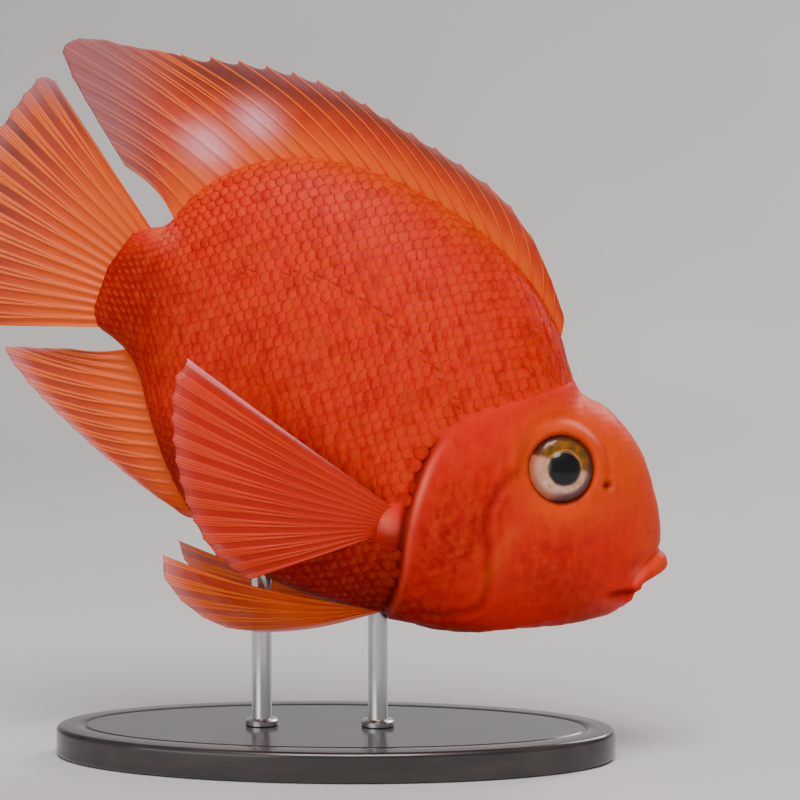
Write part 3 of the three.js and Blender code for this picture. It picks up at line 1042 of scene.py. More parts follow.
@dataclass(frozen=True)
class SkinFinish:
    """The colours and gloss of the skin and the scales over it, in linear light.

    Attributes:
        mid: The middle of the flank.
        back: The brighter back.
        low: The deeper red of the tail root, and the painted shade under the belly and jaw.
        orange: Round the eye and along the dorsal fin.
        blood: The gill cover and cheek, and the painted shade under the throat.
        pale: Edges and spots that show pink, painted highlights among them on the gill cover's rim, the
            pectoral fin's root, the brow and the lip.
        dark: Painted shade in the furrows, creases, nostril and mouth, also laid on the tubes of the pored
            scales.
        roughness: The surface's roughness.
        rim_shade: How much darker the painted shade on the rim of each scale is.
        pore_shade: How dark the tubes of the pored scales are.
    """

    mid: Colour = (0.70, 0.010, 0.0002)
    back: Colour = (0.82, 0.012, 0.0005)
    low: Colour = (0.27, 0.0012, 0.0002)
    orange: Colour = (0.76, 0.062, 0.001)
    blood: Colour = (0.33, 0.0015, 0.0002)
    pale: Colour = (0.95, 0.16, 0.10)
    dark: Colour = (0.10, 0.002, 0.0006)
    roughness: float = 0.48
    rim_shade: float = 0.35
    pore_shade: float = 0.4

    def build(self, name: str, scaled: bool) -> Material:
        """Makes the material.

        Args:
            name: The material's name.
            scaled: True for the scales, False for the skin.

        Returns:
            The material.
        """
        g = Graph(name)
        light, deep, warm = g.kept("tone")
        pale, blood, dark = g.kept("mark")
        broad, mottle, fine = g.noise(70, 3.0), g.noise(330, 4.0, 0.6), g.noise(1700, 3.0, 0.6)
        shift = g.maths("MULTIPLY_ADD", broad, 0.5, -0.25)
        colour = g.blend(g.span(g.plus(light, shift), 0.05, 0.95), self.mid, self.back)
        # Deeper red toward the tail root, and painted shade under the belly and jaw.
        colour = g.blend(g.span(g.plus(deep, shift), 0.05, 1.0), colour, self.low)
        colour = g.blend(g.span(g.plus(warm, shift), 0.05, 1.0), colour, self.orange)
        colour = g.blend(g.times(blood, g.span(mottle, 0.25, 0.70, 0.15, 0.75)), colour, self.blood)
        streaks = g.noise(1.0, 3.0, at=g.stretched((620.0, 620.0, 240.0), 0.30))
        amount = 0.45 if scaled else g.span(blood, 0.0, 0.8, 0.12, 0.36)
        amount = g.times(g.span(deep, 0.3, 1.0, 1.0, 0.35), amount)
        colour = g.blend(g.times(g.span(streaks, 0.42, 0.68), amount), colour, self.orange)
        colour = g.blend(g.times(g.span(streaks, 0.50, 0.30), amount), colour, self.blood)
        # Pink spots and edges, partly painted highlights.
        colour = g.blend(pale, colour, self.pale)
        colour = g.blend(g.times(g.span(fine, 0.58, 0.78), 0.22), colour, self.orange)
        colour = g.blend(g.times(g.span(mottle, 0.55, 0.75), 0.20), colour, self.low)
        look = self.on_scales(g, colour, fine) if scaled else self.on_skin(g, colour, blood, mottle, fine)
        rough = g.span(mottle, 0.3, 0.7, self.roughness - 0.06, self.roughness + 0.08)
        # The dark share lays painted shade over the furrows, creases and hollows.
        g.set(Base_Color=g.blend(dark, look[0], self.dark), Roughness=rough, Normal=look[1])
        g.set(Coat_Weight=0.03, Coat_Roughness=0.3, Specular_IOR_Level=0.10 if scaled else 0.14)
        g.set(Subsurface_Weight=0.12, Subsurface_Scale=0.0014, Subsurface_Radius=(1.0, 0.22, 0.08))
        return g.material

    def on_scales(self, g: Graph, colour: Socket, fine: Socket) -> tuple[Socket, Socket]:
        """Dresses each scale: painted shade on its rim, a painted lighter heart, growth rings and the tubes
        of the pored line.

        Args:
            g: The material's nodes.
            colour: The colour so far.
            fine: The finest noise.

        Returns:
            The colour and the normal.
        """
        across, along, _ = g.kept("spot")
        _, _, luck = g.kept("patch")
        radius = g.maths("SQRT", g.plus(g.times(across, across), g.times(along, along)))
        # Painted shade darkens each scale's rim, and a painted lighter heart brightens its middle, more on
        # some scales than others.
        colour = g.blend(g.times(g.span(radius, 0.60, 0.98), self.rim_shade), colour, self.low)
        heart = g.times(g.span(radius, 0.75, 0.15), g.span(luck, 0.0, 1.0, 0.12, 0.5))
        colour = g.blend(heart, colour, self.orange)
        colour = g.blend(g.span(luck, 0.6, 1.0, 0.0, 0.25), colour, self.blood)
        pored, _, _ = g.kept("pore")
        tube = g.times(g.span(along, 0.12, 0.25), g.span(along, 0.80, 0.62))
        tube = g.times(tube, g.span(g.maths("ABSOLUTE", across), 0.20, 0.08))
        tube = g.times(tube, pored)
        colour = g.blend(g.times(tube, self.pore_shade), colour, self.dark)
        circles = g.maths("SINE", g.times(radius, 75.0))
        normal = g.relief(circles, 0.000012, 0.5)
        normal = g.relief(fine, 0.00005, 0.5, normal)
        return colour, g.relief(tube, 0.00012, 0.8, normal)

    def on_skin(
        self,
        g: Graph,
        colour: Socket,
        blood: Socket,
        mottle: Socket,
        fine: Socket,
    ) -> tuple[Socket, Socket]:
        """Dresses the bare skin, with scales sunk in it over the cheek and gill cover.

        Args:
            g: The material's nodes.
            colour: The colour so far.
            blood: How blood red the skin is, which is where the sunk scales lie.
            mottle: The middle noise.
            fine: The finest noise.

        Returns:
            The colour and the normal.
        """
        cells = g.add("ShaderNodeTexVoronoi", g.stretched((430.0, 430.0, 520.0), 0.48))
        g.feed(cells, Scale=1.0, Randomness=0.55)
        sunk = g.times(g.span(cells.outputs["Distance"], 0.25, 0.75), g.span(blood, 0.1, 0.7))
        colour = g.blend(g.times(sunk, 0.22), colour, self.low)
        normal = g.relief(sunk, -0.00016, 0.6)
        normal = g.relief(mottle, 0.00025, 0.5, normal)
        return colour, g.relief(fine, 0.00009, 0.6, normal)


@dataclass(frozen=True)
class Skin:
    """The one skin over the trunk, head, jaw, gill covers and tail stalk.

    Attributes:
        flesh: The body's plain form.
        relief: The forms that stand on it.
        seat: Where the eyes sit.
        around: How many points each ring has.
        coat_depth: How deep the skin lies under the coat of scales.
        bare_depth: How deep it lies where there are no scales.
        spacing: The space between two rings at places along the side line.
        nodes: The solids that it replaces.
    """

    flesh: Flesh
    relief: Relief
    seat: EyeSeat
    around: int = 288
    coat_depth: float = 0.3
    bare_depth: float = 0.08
    spacing: tuple[Flat, ...] = ((60, 0.95), (79, 0.6), (84, 0.5), (126, 0.5), (131, 0.3))
    nodes: tuple[str, ...] = (
        "trunk", "head", "lower_jaw", "gill_cover_right", "gill_cover_left", "tail_stalk",
    )

    def scaled(self, points: Array) -> Array:
        """How much of the coat of scales covers points of the body, from 0 to 1."""
        return smooth(self.relief.ahead(points), -0.9, -1.9) * smooth(self.relief.from_lobe(points), 3.8, 5.2)

    def surface(self, along: Array, turn: Array) -> tuple[Array, Array]:
        """Works out where the skin lies.

        Args:
            along: Shares of the way from the tail root to the mouth.
            turn: Angles from the back, going round by the right flank.

        Returns:
            Points of the skin, and the same points of the plain form.
        """
        plain = self.flesh.at(along, turn)
        depth = self.bare_depth + (self.coat_depth - self.bare_depth) * self.scaled(plain)
        made = plain + self.flesh.out(along, turn) * (self.relief.height(plain) - depth)[..., None]
        return self.relief.sockets(made, self.seat), plain

    def ring_shares(self, samples: int = 3000) -> Array:
        """Spaces the rings, closest together round the mouth.

        Args:
            samples: How many places the spacing is measured at.

        Returns:
            The share along the body of each ring.
        """
        shares = np.linspace(0.0, 1.0, samples)
        lines = [line.at(shares) for line in (self.flesh.back, self.flesh.side, self.flesh.belly)]
        steps = np.max([np.linalg.norm(np.diff(line, axis=0), axis=1) for line in lines], axis=0)
        spacing = np.interp(lines[1][1:, 0], *np.transpose(self.spacing))
        counted = np.concatenate([[0.0], np.cumsum(steps / spacing)])
        return np.interp(np.linspace(0.0, counted[-1], int(counted[-1])), counted, shares)

    def build(self, markings: Markings, finish: SkinFinish) -> None:
        """Makes the skin and hands it over.

        Args:
            markings: Where each colour lies.
            finish: The skin's finish.
        """
        turns = np.arange(self.around) * 2 * math.pi / self.around
        points, _ = self.surface(self.ring_shares()[:, None], turns[None, :])
        flat = np.vstack([points.reshape(-1, 3), points[0].mean(axis=0), points[-1].mean(axis=0)])
        placed = POSE.place(flat)
        mesh = new_mesh("skin", placed, outward(placed, pointed_faces(len(points), self.around)))
        keep_vector(mesh, "tone", markings.tone(flat))
        keep_vector(mesh, "mark", markings.mark(flat))
        hand_over(show("skin", mesh, finish.build("fish_skin", scaled=False)), Slot.SKIN, *self.nodes)


@dataclass(frozen=True)
class ScaleCoat:
    """The scales of one flank, laid tailward over the skin and made by Geometry Nodes.

    Attributes:
        skin: The skin under them.
        flank: Which side of the fish they cover.
        seed: The seed of their small differences.
        step: The space between two rings of scales, half of what each scale shows.
        pitch: The space between two scales of a ring where the body is full.
        full_girth: The girth of the body there.
        length: Half of a scale's length.
        width: Half of a scale's width.
        profile: The share of a scale's radius and the height of each of its rings, from top to underside.
        corners: How many corners a scale has.
        blunt: How much shorter its sunk end is than its free end.
        lean: How far a scale leans tailward, as a slope.
        edge_gap: How far the scales stop short of the middle of the back and belly.
        first_ring: Where the coat ends at the tail root, counted in the body's sections.
        last_ring: Where it starts in front.
        patch: How wide a scale's patch of the bake map is.
    """

    skin: Skin
    flank: Flank
    seed: int
    step: float = 1.65
    pitch: float = 3.3
    full_girth: float = 230.0
    length: float = 2.6
    width: float = 2.35
    profile: tuple[Flat, ...] = ((0.0, 0.07), (0.55, 0.045), (0.93, -0.018), (1.0, -0.085), (0.0, -0.095))
    corners: int = 16
    blunt: float = 0.10
    lean: float = 0.062
    edge_gap: float = 0.9
    first_ring: float = 0.35
    last_ring: float = 12.9
    patch: float = 0.003

    def grid(self) -> tuple[Array, Array, Array]:
        """Spaces the scales along and round the flank, every second ring shifted by half a scale.

        Returns:
            The share along the body, the angle from the back and the share of the pitch for each scale.
        """
        flesh, side = self.skin.flesh, self.skin.flesh.side
        ends = np.array([self.first_ring, self.last_ring]) / flesh.count
        start, end = np.interp(ends, side.steps, side.lengths)
        shares = np.interp(np.arange(start, end, self.step), side.lengths, side.steps)
        fine = np.linspace(0.02, math.pi - 0.02, 240)
        rows = []
        for number, share in enumerate(shares):
            line = flesh.at(share, fine)
            run = np.concatenate([[0.0], np.cumsum(np.linalg.norm(np.diff(line, axis=0), axis=1))])
            pitch = self.pitch * (2 * run[-1] / self.full_girth) ** 0.4
            most = int(run[-1] / pitch) + 1
            middle = np.interp(math.pi / 2, fine, run)
            places = middle + (np.arange(-most, most + 1) + 0.5 * (number % 2)) * pitch
            places = places[(places > self.edge_gap) & (places < run[-1] - self.edge_gap)]
            ones = np.ones(len(places))
            rows.append([ones * share, np.interp(places, run, fine), ones * pitch / self.pitch])
        along, turn, share_of_pitch = np.hstack(rows)
        return along, turn if self.flank is Flank.RIGHT else 2 * math.pi - turn, share_of_pitch

    def seats(self) -> dict[str, Array]:
        """Works out where each scale stands and how it lies.

        Returns:
            One row for each scale, in the fish's frame: its place, outward and tailward directions, size,
            and place on the unwrap.
        """
        skin, flesh, relief = self.skin, self.skin.flesh, self.skin.relief
        random = np.random.default_rng(self.seed)
        along, turn, pitch = self.grid()
        place, plain = skin.surface(along, turn)
        covered = skin.scaled(plain) > 0.6
        along, turn, pitch, place, plain = (part[covered] for part in (along, turn, pitch, place, plain))
        nudge, swing = 0.5 / flesh.count, 0.03
        tailward = np.maximum(along - nudge, 0.0)
        run = skin.surface(tailward, turn)[0] - skin.surface(along + nudge, turn)[0]
        round_it = skin.surface(along, turn + swing)[0] - skin.surface(along, turn - swing)[0]
        ahead = relief.ahead(plain)
        near = smooth(ahead, -8.0, -3.5)[:, None]
        out = unit(unit(np.cross(round_it, -run)) * (1 - near) + flesh.out(along, turn) * near)
        lie = unit(run)
        lie = unit(lie - out * (lie * out).sum(axis=1, keepdims=True))
        beside = np.linalg.norm(flesh.side.at(along + nudge) - flesh.side.at(tailward), axis=1)
        stretch = np.clip(np.linalg.norm(run, axis=1) / beside, 0.75, 1.45)
        vary = random.uniform(0.95, 1.05, (len(along), 2))
        lie = unit(lie + np.cross(out, lie) * random.normal(0.0, 0.035, (len(along), 1)))
        sunk = 0.05 * smooth(ahead, -7.0, -1.5) * smooth(plain[:, 2], 0.0, 8.0)
        size = np.stack([stretch * vary[:, 0], pitch * vary[:, 1], np.ones(len(along))], axis=-1)
        unrolled = 0.02 + 0.96 * np.stack([along, turn / (2 * math.pi)], axis=-1)
        return {
            "place": place - out * sunk[:, None],
            "out": unit(out - lie * self.lean),
            "lie": lie,
            "size": size * self.share_of_size(plain, turn)[:, None],
            "patch": np.column_stack([unrolled, random.random(len(along))]),
        }

    def share_of_size(self, plain: Array, turn: Array) -> Array:
        """How large scales are beside those of the flank.

        Args:
            plain: Their points on the plain form.
            turn: Their angles from the back.

        Returns:
            A share for each, smaller at the tail, the back, the gill cover and the pectoral fin's root.
        """
        from_back = np.minimum(np.abs(plain[:, 1]), 6.0) * smooth(np.cos(turn), -0.2, 0.2)
        from_back = from_back + 6.0 * (np.cos(turn) < 0)
        tail = 0.6 + 0.4 * smooth(plain[:, 0], -4.0, 14.0)
        back = 0.7 + 0.3 * smooth(from_back, 1.0, 5.0)
        relief = self.skin.relief
        edges = smooth(relief.ahead(plain), -1.5, -7.0) * smooth(relief.from_lobe(plain), 4.5, 9.0)
        return tail * back * (0.76 + 0.24 * edges)

    def plate(self) -> Object:
        """Makes one scale, a thin closed lens with its free edge toward +X and its top toward +Z.

        Returns:
            Its object, with each vertex's place on the scale kept as "spot".
        """
        turns = np.arange(self.corners) * 2 * math.pi / self.corners
        radius, height = np.array(self.profile[1:-1]).T
        x, y = np.outer(radius, np.cos(turns)), np.outer(radius, np.sin(turns))
        short = 1.0 - self.blunt * np.maximum(0.0, -np.cos(turns)) ** 2
        rings = np.stack([x * self.length * short, y * self.width, height[:, None] + 0 * x], axis=-1)
        ends = [(0.0, 0.0, self.profile[0][1]), (0.0, 0.0, self.profile[-1][1])]
        points = np.vstack([rings.reshape(-1, 3), ends]) * MM
        mesh = new_mesh("scale", points, outward(points, pointed_faces(len(radius), self.corners)))
        spots = np.stack([y, x, 0 * x], axis=-1).reshape(-1, 3)
        keep_vector(mesh, "spot", np.vstack([spots, np.zeros((2, 3))]))
        return show("scale", mesh)

    @staticmethod
    def tree() -> NodeTree:
        """Makes the node tree that lays one scale on each seat.

        Returns:
            The tree, which takes the seats, the scale, the finish and the patch's size.
        """
        tree = bpy.data.node_groups.new("lay_scales", "GeometryNodeTree")
        inputs = {"Seats": "Geometry", "Scale": "Object", "Finish": "Material", "Patch": "Float"}
        for name, kind in inputs.items():
            tree.interface.new_socket(name, in_out="INPUT", socket_type=f"NodeSocket{kind}")
        tree.interface.new_socket("Coat", in_out="OUTPUT", socket_type="NodeSocketGeometry")
        net = Net(tree)
        given = net.add("NodeGroupInput").outputs
        pattern = net.add("GeometryNodeObjectInfo", given["Scale"]).outputs["Geometry"]
        upright = net.add("FunctionNodeAlignRotationToVector", axis="Z")
        net.feed(upright, Vector=net.vector("out"))
        laid = net.add("FunctionNodeAlignRotationToVector", axis="X", pivot_axis="Z")
        net.feed(laid, Rotation=upright.outputs["Rotation"], Vector=net.vector("lie"))
        coat = net.add("GeometryNodeInstanceOnPoints")
        net.feed(coat, Points=given["Seats"], Instance=pattern)
        net.feed(coat, Rotation=laid.outputs["Rotation"], Scale=net.vector("size"))
        made = net.add("GeometryNodeRealizeInstances", coat.outputs["Instances"])
        half = net.add("ShaderNodeMath", given["Patch"], 0.5, operation="MULTIPLY")
        spread = net.add("ShaderNodeVectorMath", net.vector("spot"), operation="SCALE")
        net.feed(spread, Scale=half.outputs[0])
        unwrap = net.add("ShaderNodeVectorMath", net.vector("patch"), spread.outputs[0])
        store = net.add("GeometryNodeStoreNamedAttribute", data_type="FLOAT2", domain="CORNER")
        net.feed(store, Geometry=made.outputs["Geometry"], Name="OFBake", Value=unwrap.outputs[0])
        dress = net.add("GeometryNodeSetMaterial")
        net.feed(dress, Geometry=store.outputs["Geometry"], Material=given["Finish"])
        net.add("NodeGroupOutput", dress.outputs["Geometry"])
        return tree

    def build(self, markings: Markings, finish: Material) -> None:
        """Lays the scales and hands the coat over as a plain mesh.

        Args:
            markings: Where each colour lies.
            finish: The scales' material.
        """
        name = f"scales_{self.flank.side}"
        seats = self.seats()
        mesh = bpy.data.meshes.new(f"{name}_seats")
        mesh.from_pydata(POSE.place(seats["place"]).tolist(), [], [])
        kept = {
            "out": POSE.turn(seats["out"]),
            "lie": POSE.turn(seats["lie"]),
            "size": seats["size"],
            "patch": seats["patch"],
            "tone": markings.tone(seats["place"]),
            "mark": markings.mark(seats["place"]),
            "pore": markings.pores(seats["place"], self.pitch / 4),
        }
        for key, values in kept.items():
            keep_vector(mesh, key, values)
        coat, pattern = show(name, mesh), self.plate()
        result = applied(coat, self.tree(), {"Scale": pattern, "Finish": finish, "Patch": self.patch})
        bpy.data.objects.remove(pattern)
        result.materials.clear()
        result.materials.append(finish)
        hand_over(coat, Slot.SKIN)


@dataclass(frozen=True)
class FinFinish:
    """The colours and gloss of the fins, in linear light.

    Attributes:
        base: Next to the body.
        web: The web between the rays.
        ray: The rays.
        dusk: The smoky upper parts.
        pale: The pale blotches and edges.
        violet: The thin ends where little colour is left.
        clear: How much a thin web lets through.
        spread: How far along the rays the base's colour reaches.
    """

    base: Colour = (0.82, 0.105, 0.001)
    web: Colour = (0.56, 0.030, 0.0005)
    ray: Colour = (0.88, 0.14, 0.012)
    dusk: Colour = (0.085, 0.009, 0.002)
    pale: Colour = (0.90, 0.38, 0.44)
    violet: Colour = (0.35, 0.12, 0.14)
    clear: float = 0.20
    spread: float = 0.45

    def build(self, name: str) -> Material:
        """Makes the material, whose rays branch twice on their way out.

        Args:
            name: The material's name.

        Returns:
            The material.
        """
        g = Graph(name)
        away, reach, soft = g.kept("web")
        pale, dusk, violet = g.kept("tint")
        first = g.times(g.span(reach, 0.22, 0.60, 0.0, 0.15), soft)
        second = g.times(g.span(reach, 0.52, 0.92, 0.0, 0.075), soft)
        branch = g.maths("ABSOLUTE", g.minus(away, first))
        ray = g.span(g.maths("ABSOLUTE", g.minus(branch, second)), 0.11, 0.02)
        streak, fine = g.noise(160, 4.0, 0.65), g.noise(900, 3.0, 0.6)
        colour = g.blend(g.span(reach, 0.05, self.spread), self.base, self.web)
        colour = g.blend(g.times(g.span(streak, 0.35, 0.7), 0.35), colour, self.base)
        colour = g.blend(g.times(dusk, g.span(streak, 0.15, 0.6, 0.6, 1.0)), colour, self.dusk)
        colour = g.blend(g.times(ray, g.span(reach, 0.0, 0.35, 0.15, 0.95)), colour, self.ray)
        colour = g.blend(violet, colour, self.violet)
        colour = g.blend(g.times(pale, g.span(fine, 0.2, 0.6, 0.65, 1.0)), colour, self.pale)
        thin = g.times(g.span(ray, 1.0, 0.0), g.span(reach, 0.15, 0.85))
        through = g.times(g.maths("MAXIMUM", thin, violet), self.clear)
        joints = g.times(g.maths("SINE", g.times(reach, 260.0)), soft)
        normal = g.relief(g.times(joints, ray), 0.00003, 0.4)
        normal = g.relief(ray, 0.00016, 0.7, normal)
        normal = g.relief(fine, 0.00006, 0.4, normal)
        g.set(Base_Color=colour, Roughness=0.42, Normal=normal, Alpha=g.minus(1.0, through))
        g.set(Coat_Weight=0.05, Coat_Roughness=0.3, Specular_IOR_Level=0.25)
        g.set(Subsurface_Weight=0.15, Subsurface_Scale=0.001, Subsurface_Radius=(1.0, 0.35, 0.12))
        return g.material


@dataclass(frozen=True)
class FinPoints:
    """Points of a fin, one to a row.

    Attributes:
        at: The points as [forward, across, up].
        share: Their shares of the root and tip lines.
        reach: How far out they lie along the rays.
    """

    at: Array
    share: Array
    reach: Array


@dataclass(frozen=True)
class Fin:
    """A fin, a closed sheet from a root line to a tip line with its rays standing out of the web.

    Attributes:
        name: The finished piece's name.
        nodes: The solids that it replaces.
        root: The root line, from a share of its length to points.
        tip: The tip line, likewise.
        rays: The share of the lines at each ray.
        across: The direction that the sheet is thick in.
        bow: How far the rays bow within the fin.
        sway: How far the fin sways across at a share of the lines and a reach along the rays.
        tint: How pale, smoky and violet points of the fin are.
        spines: How many of the rays are spines, which don't branch.
        notch: How far the web stops short of the spines' tips and of the soft rays' tips, in shares.
        thick: Half the thickness of a ray at its root and at its tip.
        web: Half the thickness of the web at its root and at its edge.
        rows: How many steps the rays have.
        fineness: How many columns each space between two rays has.
        sink: How deep the root reaches into the body.
    """

    name: str
    nodes: tuple[str, ...]
    root: Callable[[Array], Array]
    tip: Callable[[Array], Array]
    rays: Array
    across: Array
    bow: Array
    sway: Callable[[Array, Array], Array]
    tint: Callable[[FinPoints], Array]
    spines: int = 0
    notch: Flat = (0.07, 0.012)
    thick: Flat = (0.62, 0.17)
    web: Flat = (0.15, 0.07)
    rows: int = 40
    fineness: int = 12
    sink: float = 2.2

    def columns(self) -> tuple[Array, Array, Array]:
        """Works out the columns of the sheet.

        Returns:
            The share of the lines, the place between two rays and the softness of each column.
        """
        gaps = len(self.rays) - 1
        place = np.arange(gaps * self.fineness + 1) / self.fineness
        share = np.interp(place, np.arange(gaps + 1), self.rays)
        soft = smooth(place, self.spines - 1.01, self.spines - 0.6) if self.spines else np.ones(len(place))
        return share, place - np.floor(place), soft

    def centres(self) -> tuple[Array, Array]:
        """Works out the middle of the sheet.

        Returns:
            Its points by column and row, and the reach of each row.
        """
        share, between, soft = self.columns()
        reach = np.linspace(0.0, 1.0, self.rows + 1)
        start, end = self.root(share), self.tip(share)
        short = (self.notch[0] * (1 - soft) + self.notch[1] * soft) * np.sin(math.pi * between) ** 0.6
        end = end + (start - end) * short[:, None]
        start = start - unit(end - start) * self.sink
        points = start[:, None] + (end - start)[:, None] * reach[None, :, None]
        points = points + self.bow * np.sin(math.pi * reach)[None, :, None]
        return points + self.across * self.sway(share[:, None], reach[None, :])[..., None], reach

    def half_thickness(self, points: Array, reach: Array) -> Array:
        """Half the sheet's thickness by column and row.

        Args:
            points: The middle of the sheet.
            reach: The reach of each row.

        Returns:
            The half thickness in millimetres.
        """
        _, between, soft = self.columns()
        away = np.minimum(between, 1 - between)[:, None]
        gap = np.linalg.norm(np.diff(points, axis=0), axis=2) * self.fineness
        gap = np.vstack([gap, gap[-1:]])
        ray = self.thick[0] + (self.thick[1] - self.thick[0]) * reach[None, :] ** 0.7
        forked = smooth(reach, 0.22, 0.6)[None, :] * soft[:, None]
        width = np.clip(ray * 1.5 / gap, 0.06, 0.3) * (1 + 0.3 * forked)
        bell = np.sqrt(np.clip(1 - ((away - 0.15 * forked) / width) ** 2, 0.0, 1.0))
        web = self.web[0] + (self.web[1] - self.web[0]) * reach[None, :]
        margin = 0.35 + 0.65 * smooth(reach, 1.0, 0.96)[None, :]
        return (web + (ray - web) * bell) * margin

    def build(self, finish: Material) -> None:
        """Makes the fin and hands it over.

        Args:
            finish: The fin's material.
        """
        share, between, soft = self.columns()
        middle, reach = self.centres()
        half = self.half_thickness(middle, reach)[..., None] * self.across
        loops = np.concatenate([middle + half, (middle - half)[::-1]], axis=0).transpose(1, 0, 2)
        rows, count = loops.shape[:2]
        faces = ring_faces(rows, count)
        last = (rows - 1) * count
        for i in range(count // 2 - 1):
            a, b, c, d = i, i + 1, count - 2 - i, count - 1 - i
            faces.append((d, c, b, a))
            faces.append((last + a, last + b, last + c, last + d))
        flat = loops.reshape(-1, 3)
        placed = POSE.place(flat)
        mesh = new_mesh(self.name, placed, outward(placed, faces))
        away = np.minimum(between, 1 - between)
        away, soft, share = (np.concatenate([part, part[::-1]]) for part in (away, soft, share))
        web = np.stack(np.broadcast_arrays(away[None, :], reach[:, None], soft[None, :]), axis=-1)
        keep_vector(mesh, "web", web.reshape(-1, 3))
        keep_vector(mesh, "tint", self.tint(FinPoints(flat, np.tile(share, rows), np.repeat(reach, count))))
        hand_over(show(self.name, mesh, finish), Slot.FIN, *self.nodes)


@dataclass(frozen=True)
class Fins:
    """All the fins, on the lines that the solids' fins are drawn on, in millimetres.

    Attributes:
        flesh: The body's plain form.
        dorsal_root: Where the dorsal fin's root starts and ends on the back, counted in the body's sections.
        anal_root: Where the anal fin's root starts and ends on the belly, likewise.
        caudal_root: The root of the tail fin as [forward, up].
        dorsal_tips: The dorsal fin's edge as [forward, up].
        caudal_tips: The tail fin's edge, likewise.
        anal_tips: The anal fin's edge, likewise.
        pectoral_root: A pectoral fin's root as [forward, out, up].
        pectoral_tips: Its edge, likewise.
        pelvic_root: A pelvic fin's root, likewise.
        pelvic_tips: Its edge, likewise.
        blotches: The pale blotches of the dorsal fin.
    """

    flesh: Flesh
    dorsal_root: Flat = (10.1, 2.1)
    anal_root: Flat = (5.75, 2.1)
    caudal_root: tuple[Flat, ...] = ((-1, 12.6), (-2.5, 6), (-3, -0.5), (-2.5, -7), (-1, -13))
    dorsal_tips: tuple[Flat, ...] = (
        (89.5, 40.2), (83.6, 46.1), (76.8, 51.7), (66.5, 56.6), (55.1, 58.7), (44.3, 59.6), (33.5, 60.4),
        (22.7, 61.1), (10.6, 59.4), (-3, 55.5), (-13.7, 51.2), (-24.7, 47.5), (-33, 45.2), (-38.6, 40.9),
        (-34.5, 35.8), (-24, 29), (-13, 22.5),
    )
    caudal_tips: tuple[Flat, ...] = (
        (-37, 32.4), (-40.4, 31.6), (-42.6, 23), (-43.8, 11), (-44.2, -1), (-43.6, -12), (-42, -23),
        (-39.4, -30.6), (-36.4, -30.9),
    )
    anal_tips: tuple[Flat, ...] = (
        (33.5, -42.4), (26.1, -41.6), (14.8, -39.6), (-0.3, -35.6), (-6.1, -33.8), (-12.5, -31.3),
        (-18.6, -27.6), (-12, -24), (-5, -20.6),
    )
    pectoral_root: tuple[Point, ...] = ((80.4, 21.6, -16.2), (79, 21.4, -19.5), (77.8, 20.6, -22.8))
    pectoral_tips: tuple[Point, ...] = (
        (23, 33, -6.5), (22.6, 34, -12), (26.5, 34.5, -20.5), (32, 34, -29), (39, 33, -36.5), (47, 31, -42),
        (57, 28.5, -44.5),
    )
    pelvic_root: tuple[Point, ...] = ((85.5, 5.6, -41.2), (83, 6, -41.8), (80.5, 6.6, -42))
    pelvic_tips: tuple[Point, ...] = (
        (63, 14, -57), (56, 16, -58.8), (49, 17, -58.5), (43, 17, -57), (38.5, 16, -54.3), (36.5, 13.5, -51),
    )
    blotches: tuple[Spot, ...] = (Spot((1.6, 35.8), (6.2, 4.6), 0.95), Spot((9.1, 45.7), (5.4, 4.2), 0.95))

    def along(self, line: Line, ends: Flat, steps: int = 24) -> Line:
        """The part of one of the body's lines between two places counted in its sections."""
        return Line(line.at(np.linspace(ends[0] / self.flesh.count, ends[1] / self.flesh.count, steps + 1)))

    @staticmethod
    def on_flat(line: Line, bent: float = 0.0) -> Callable[[Array], Array]:
        """Lays a line on the fish's middle plane.

        Args:
            line: The line as [forward, up].
            bent: How much closer together its points are in front than behind.

        Returns:
            A function from shares of its length to points.
        """

        def points(share: Array) -> Array:
            """Points at shares of the line's length."""
            flat = line.even(share + bent * np.sin(2 * math.pi * share) * (1 - share))
            return np.stack([flat[..., 0], np.zeros(flat.shape[:-1]), flat[..., 1]], axis=-1)

        return points

    @staticmethod
    def on_flank(points: Sequence[Point], flank: Flank) -> Callable[[Array], Array]:
        """A line through points given as [forward, out, up] on one flank."""
        return Line([(x, flank.value * y, z) for x, y, z in points]).even

    def dorsal_tint(self, p: FinPoints) -> Array:
        """Two pale blotches behind, a smoky upper half and a thin violet end.

        Args:
            p: Points of the fin.

        Returns:
            How pale, smoky and violet each point is.
        """
        x, z = p.at[:, 0], p.at[:, 2]
        tips = 0.25 * smooth(p.reach, 0.72, 1.0) * smooth(p.share, 0.7, 0.5)
        pale = strongest(tips, *(blotch.on(p.at) for blotch in self.blotches))
        dusk = 0.85 * smooth(p.reach, 0.35, 0.9) * smooth(p.share, 0.02, 0.3) * smooth(x, -26, -4)
        return np.stack([pale, dusk, 0.85 * smooth(x + 0.35 * z, 8, -14)], axis=-1)

    def dorsal(self) -> Fin:
        """The dorsal fin, spiny in front and soft behind."""
        return Fin(
            "rayed_dorsal_fin",
            ("dorsal_fin_spines", "dorsal_fin_rays"),
            self.on_flat(self.along(self.flesh.back, self.dorsal_root)),
            self.on_flat(Line(self.dorsal_tips), bent=0.04),
            np.concatenate([np.linspace(0.0, 0.66, 17), np.linspace(0.66, 1.0, 11)[1:]]),
            np.array([0.0, 1.0, 0.0]),
            np.array([0.6, 0.0, 1.6]),
            lambda t, v: 1.2 * v * v * np.sin(2 * math.pi * t * 1.5),
            self.dorsal_tint,
            spines=17,
        )

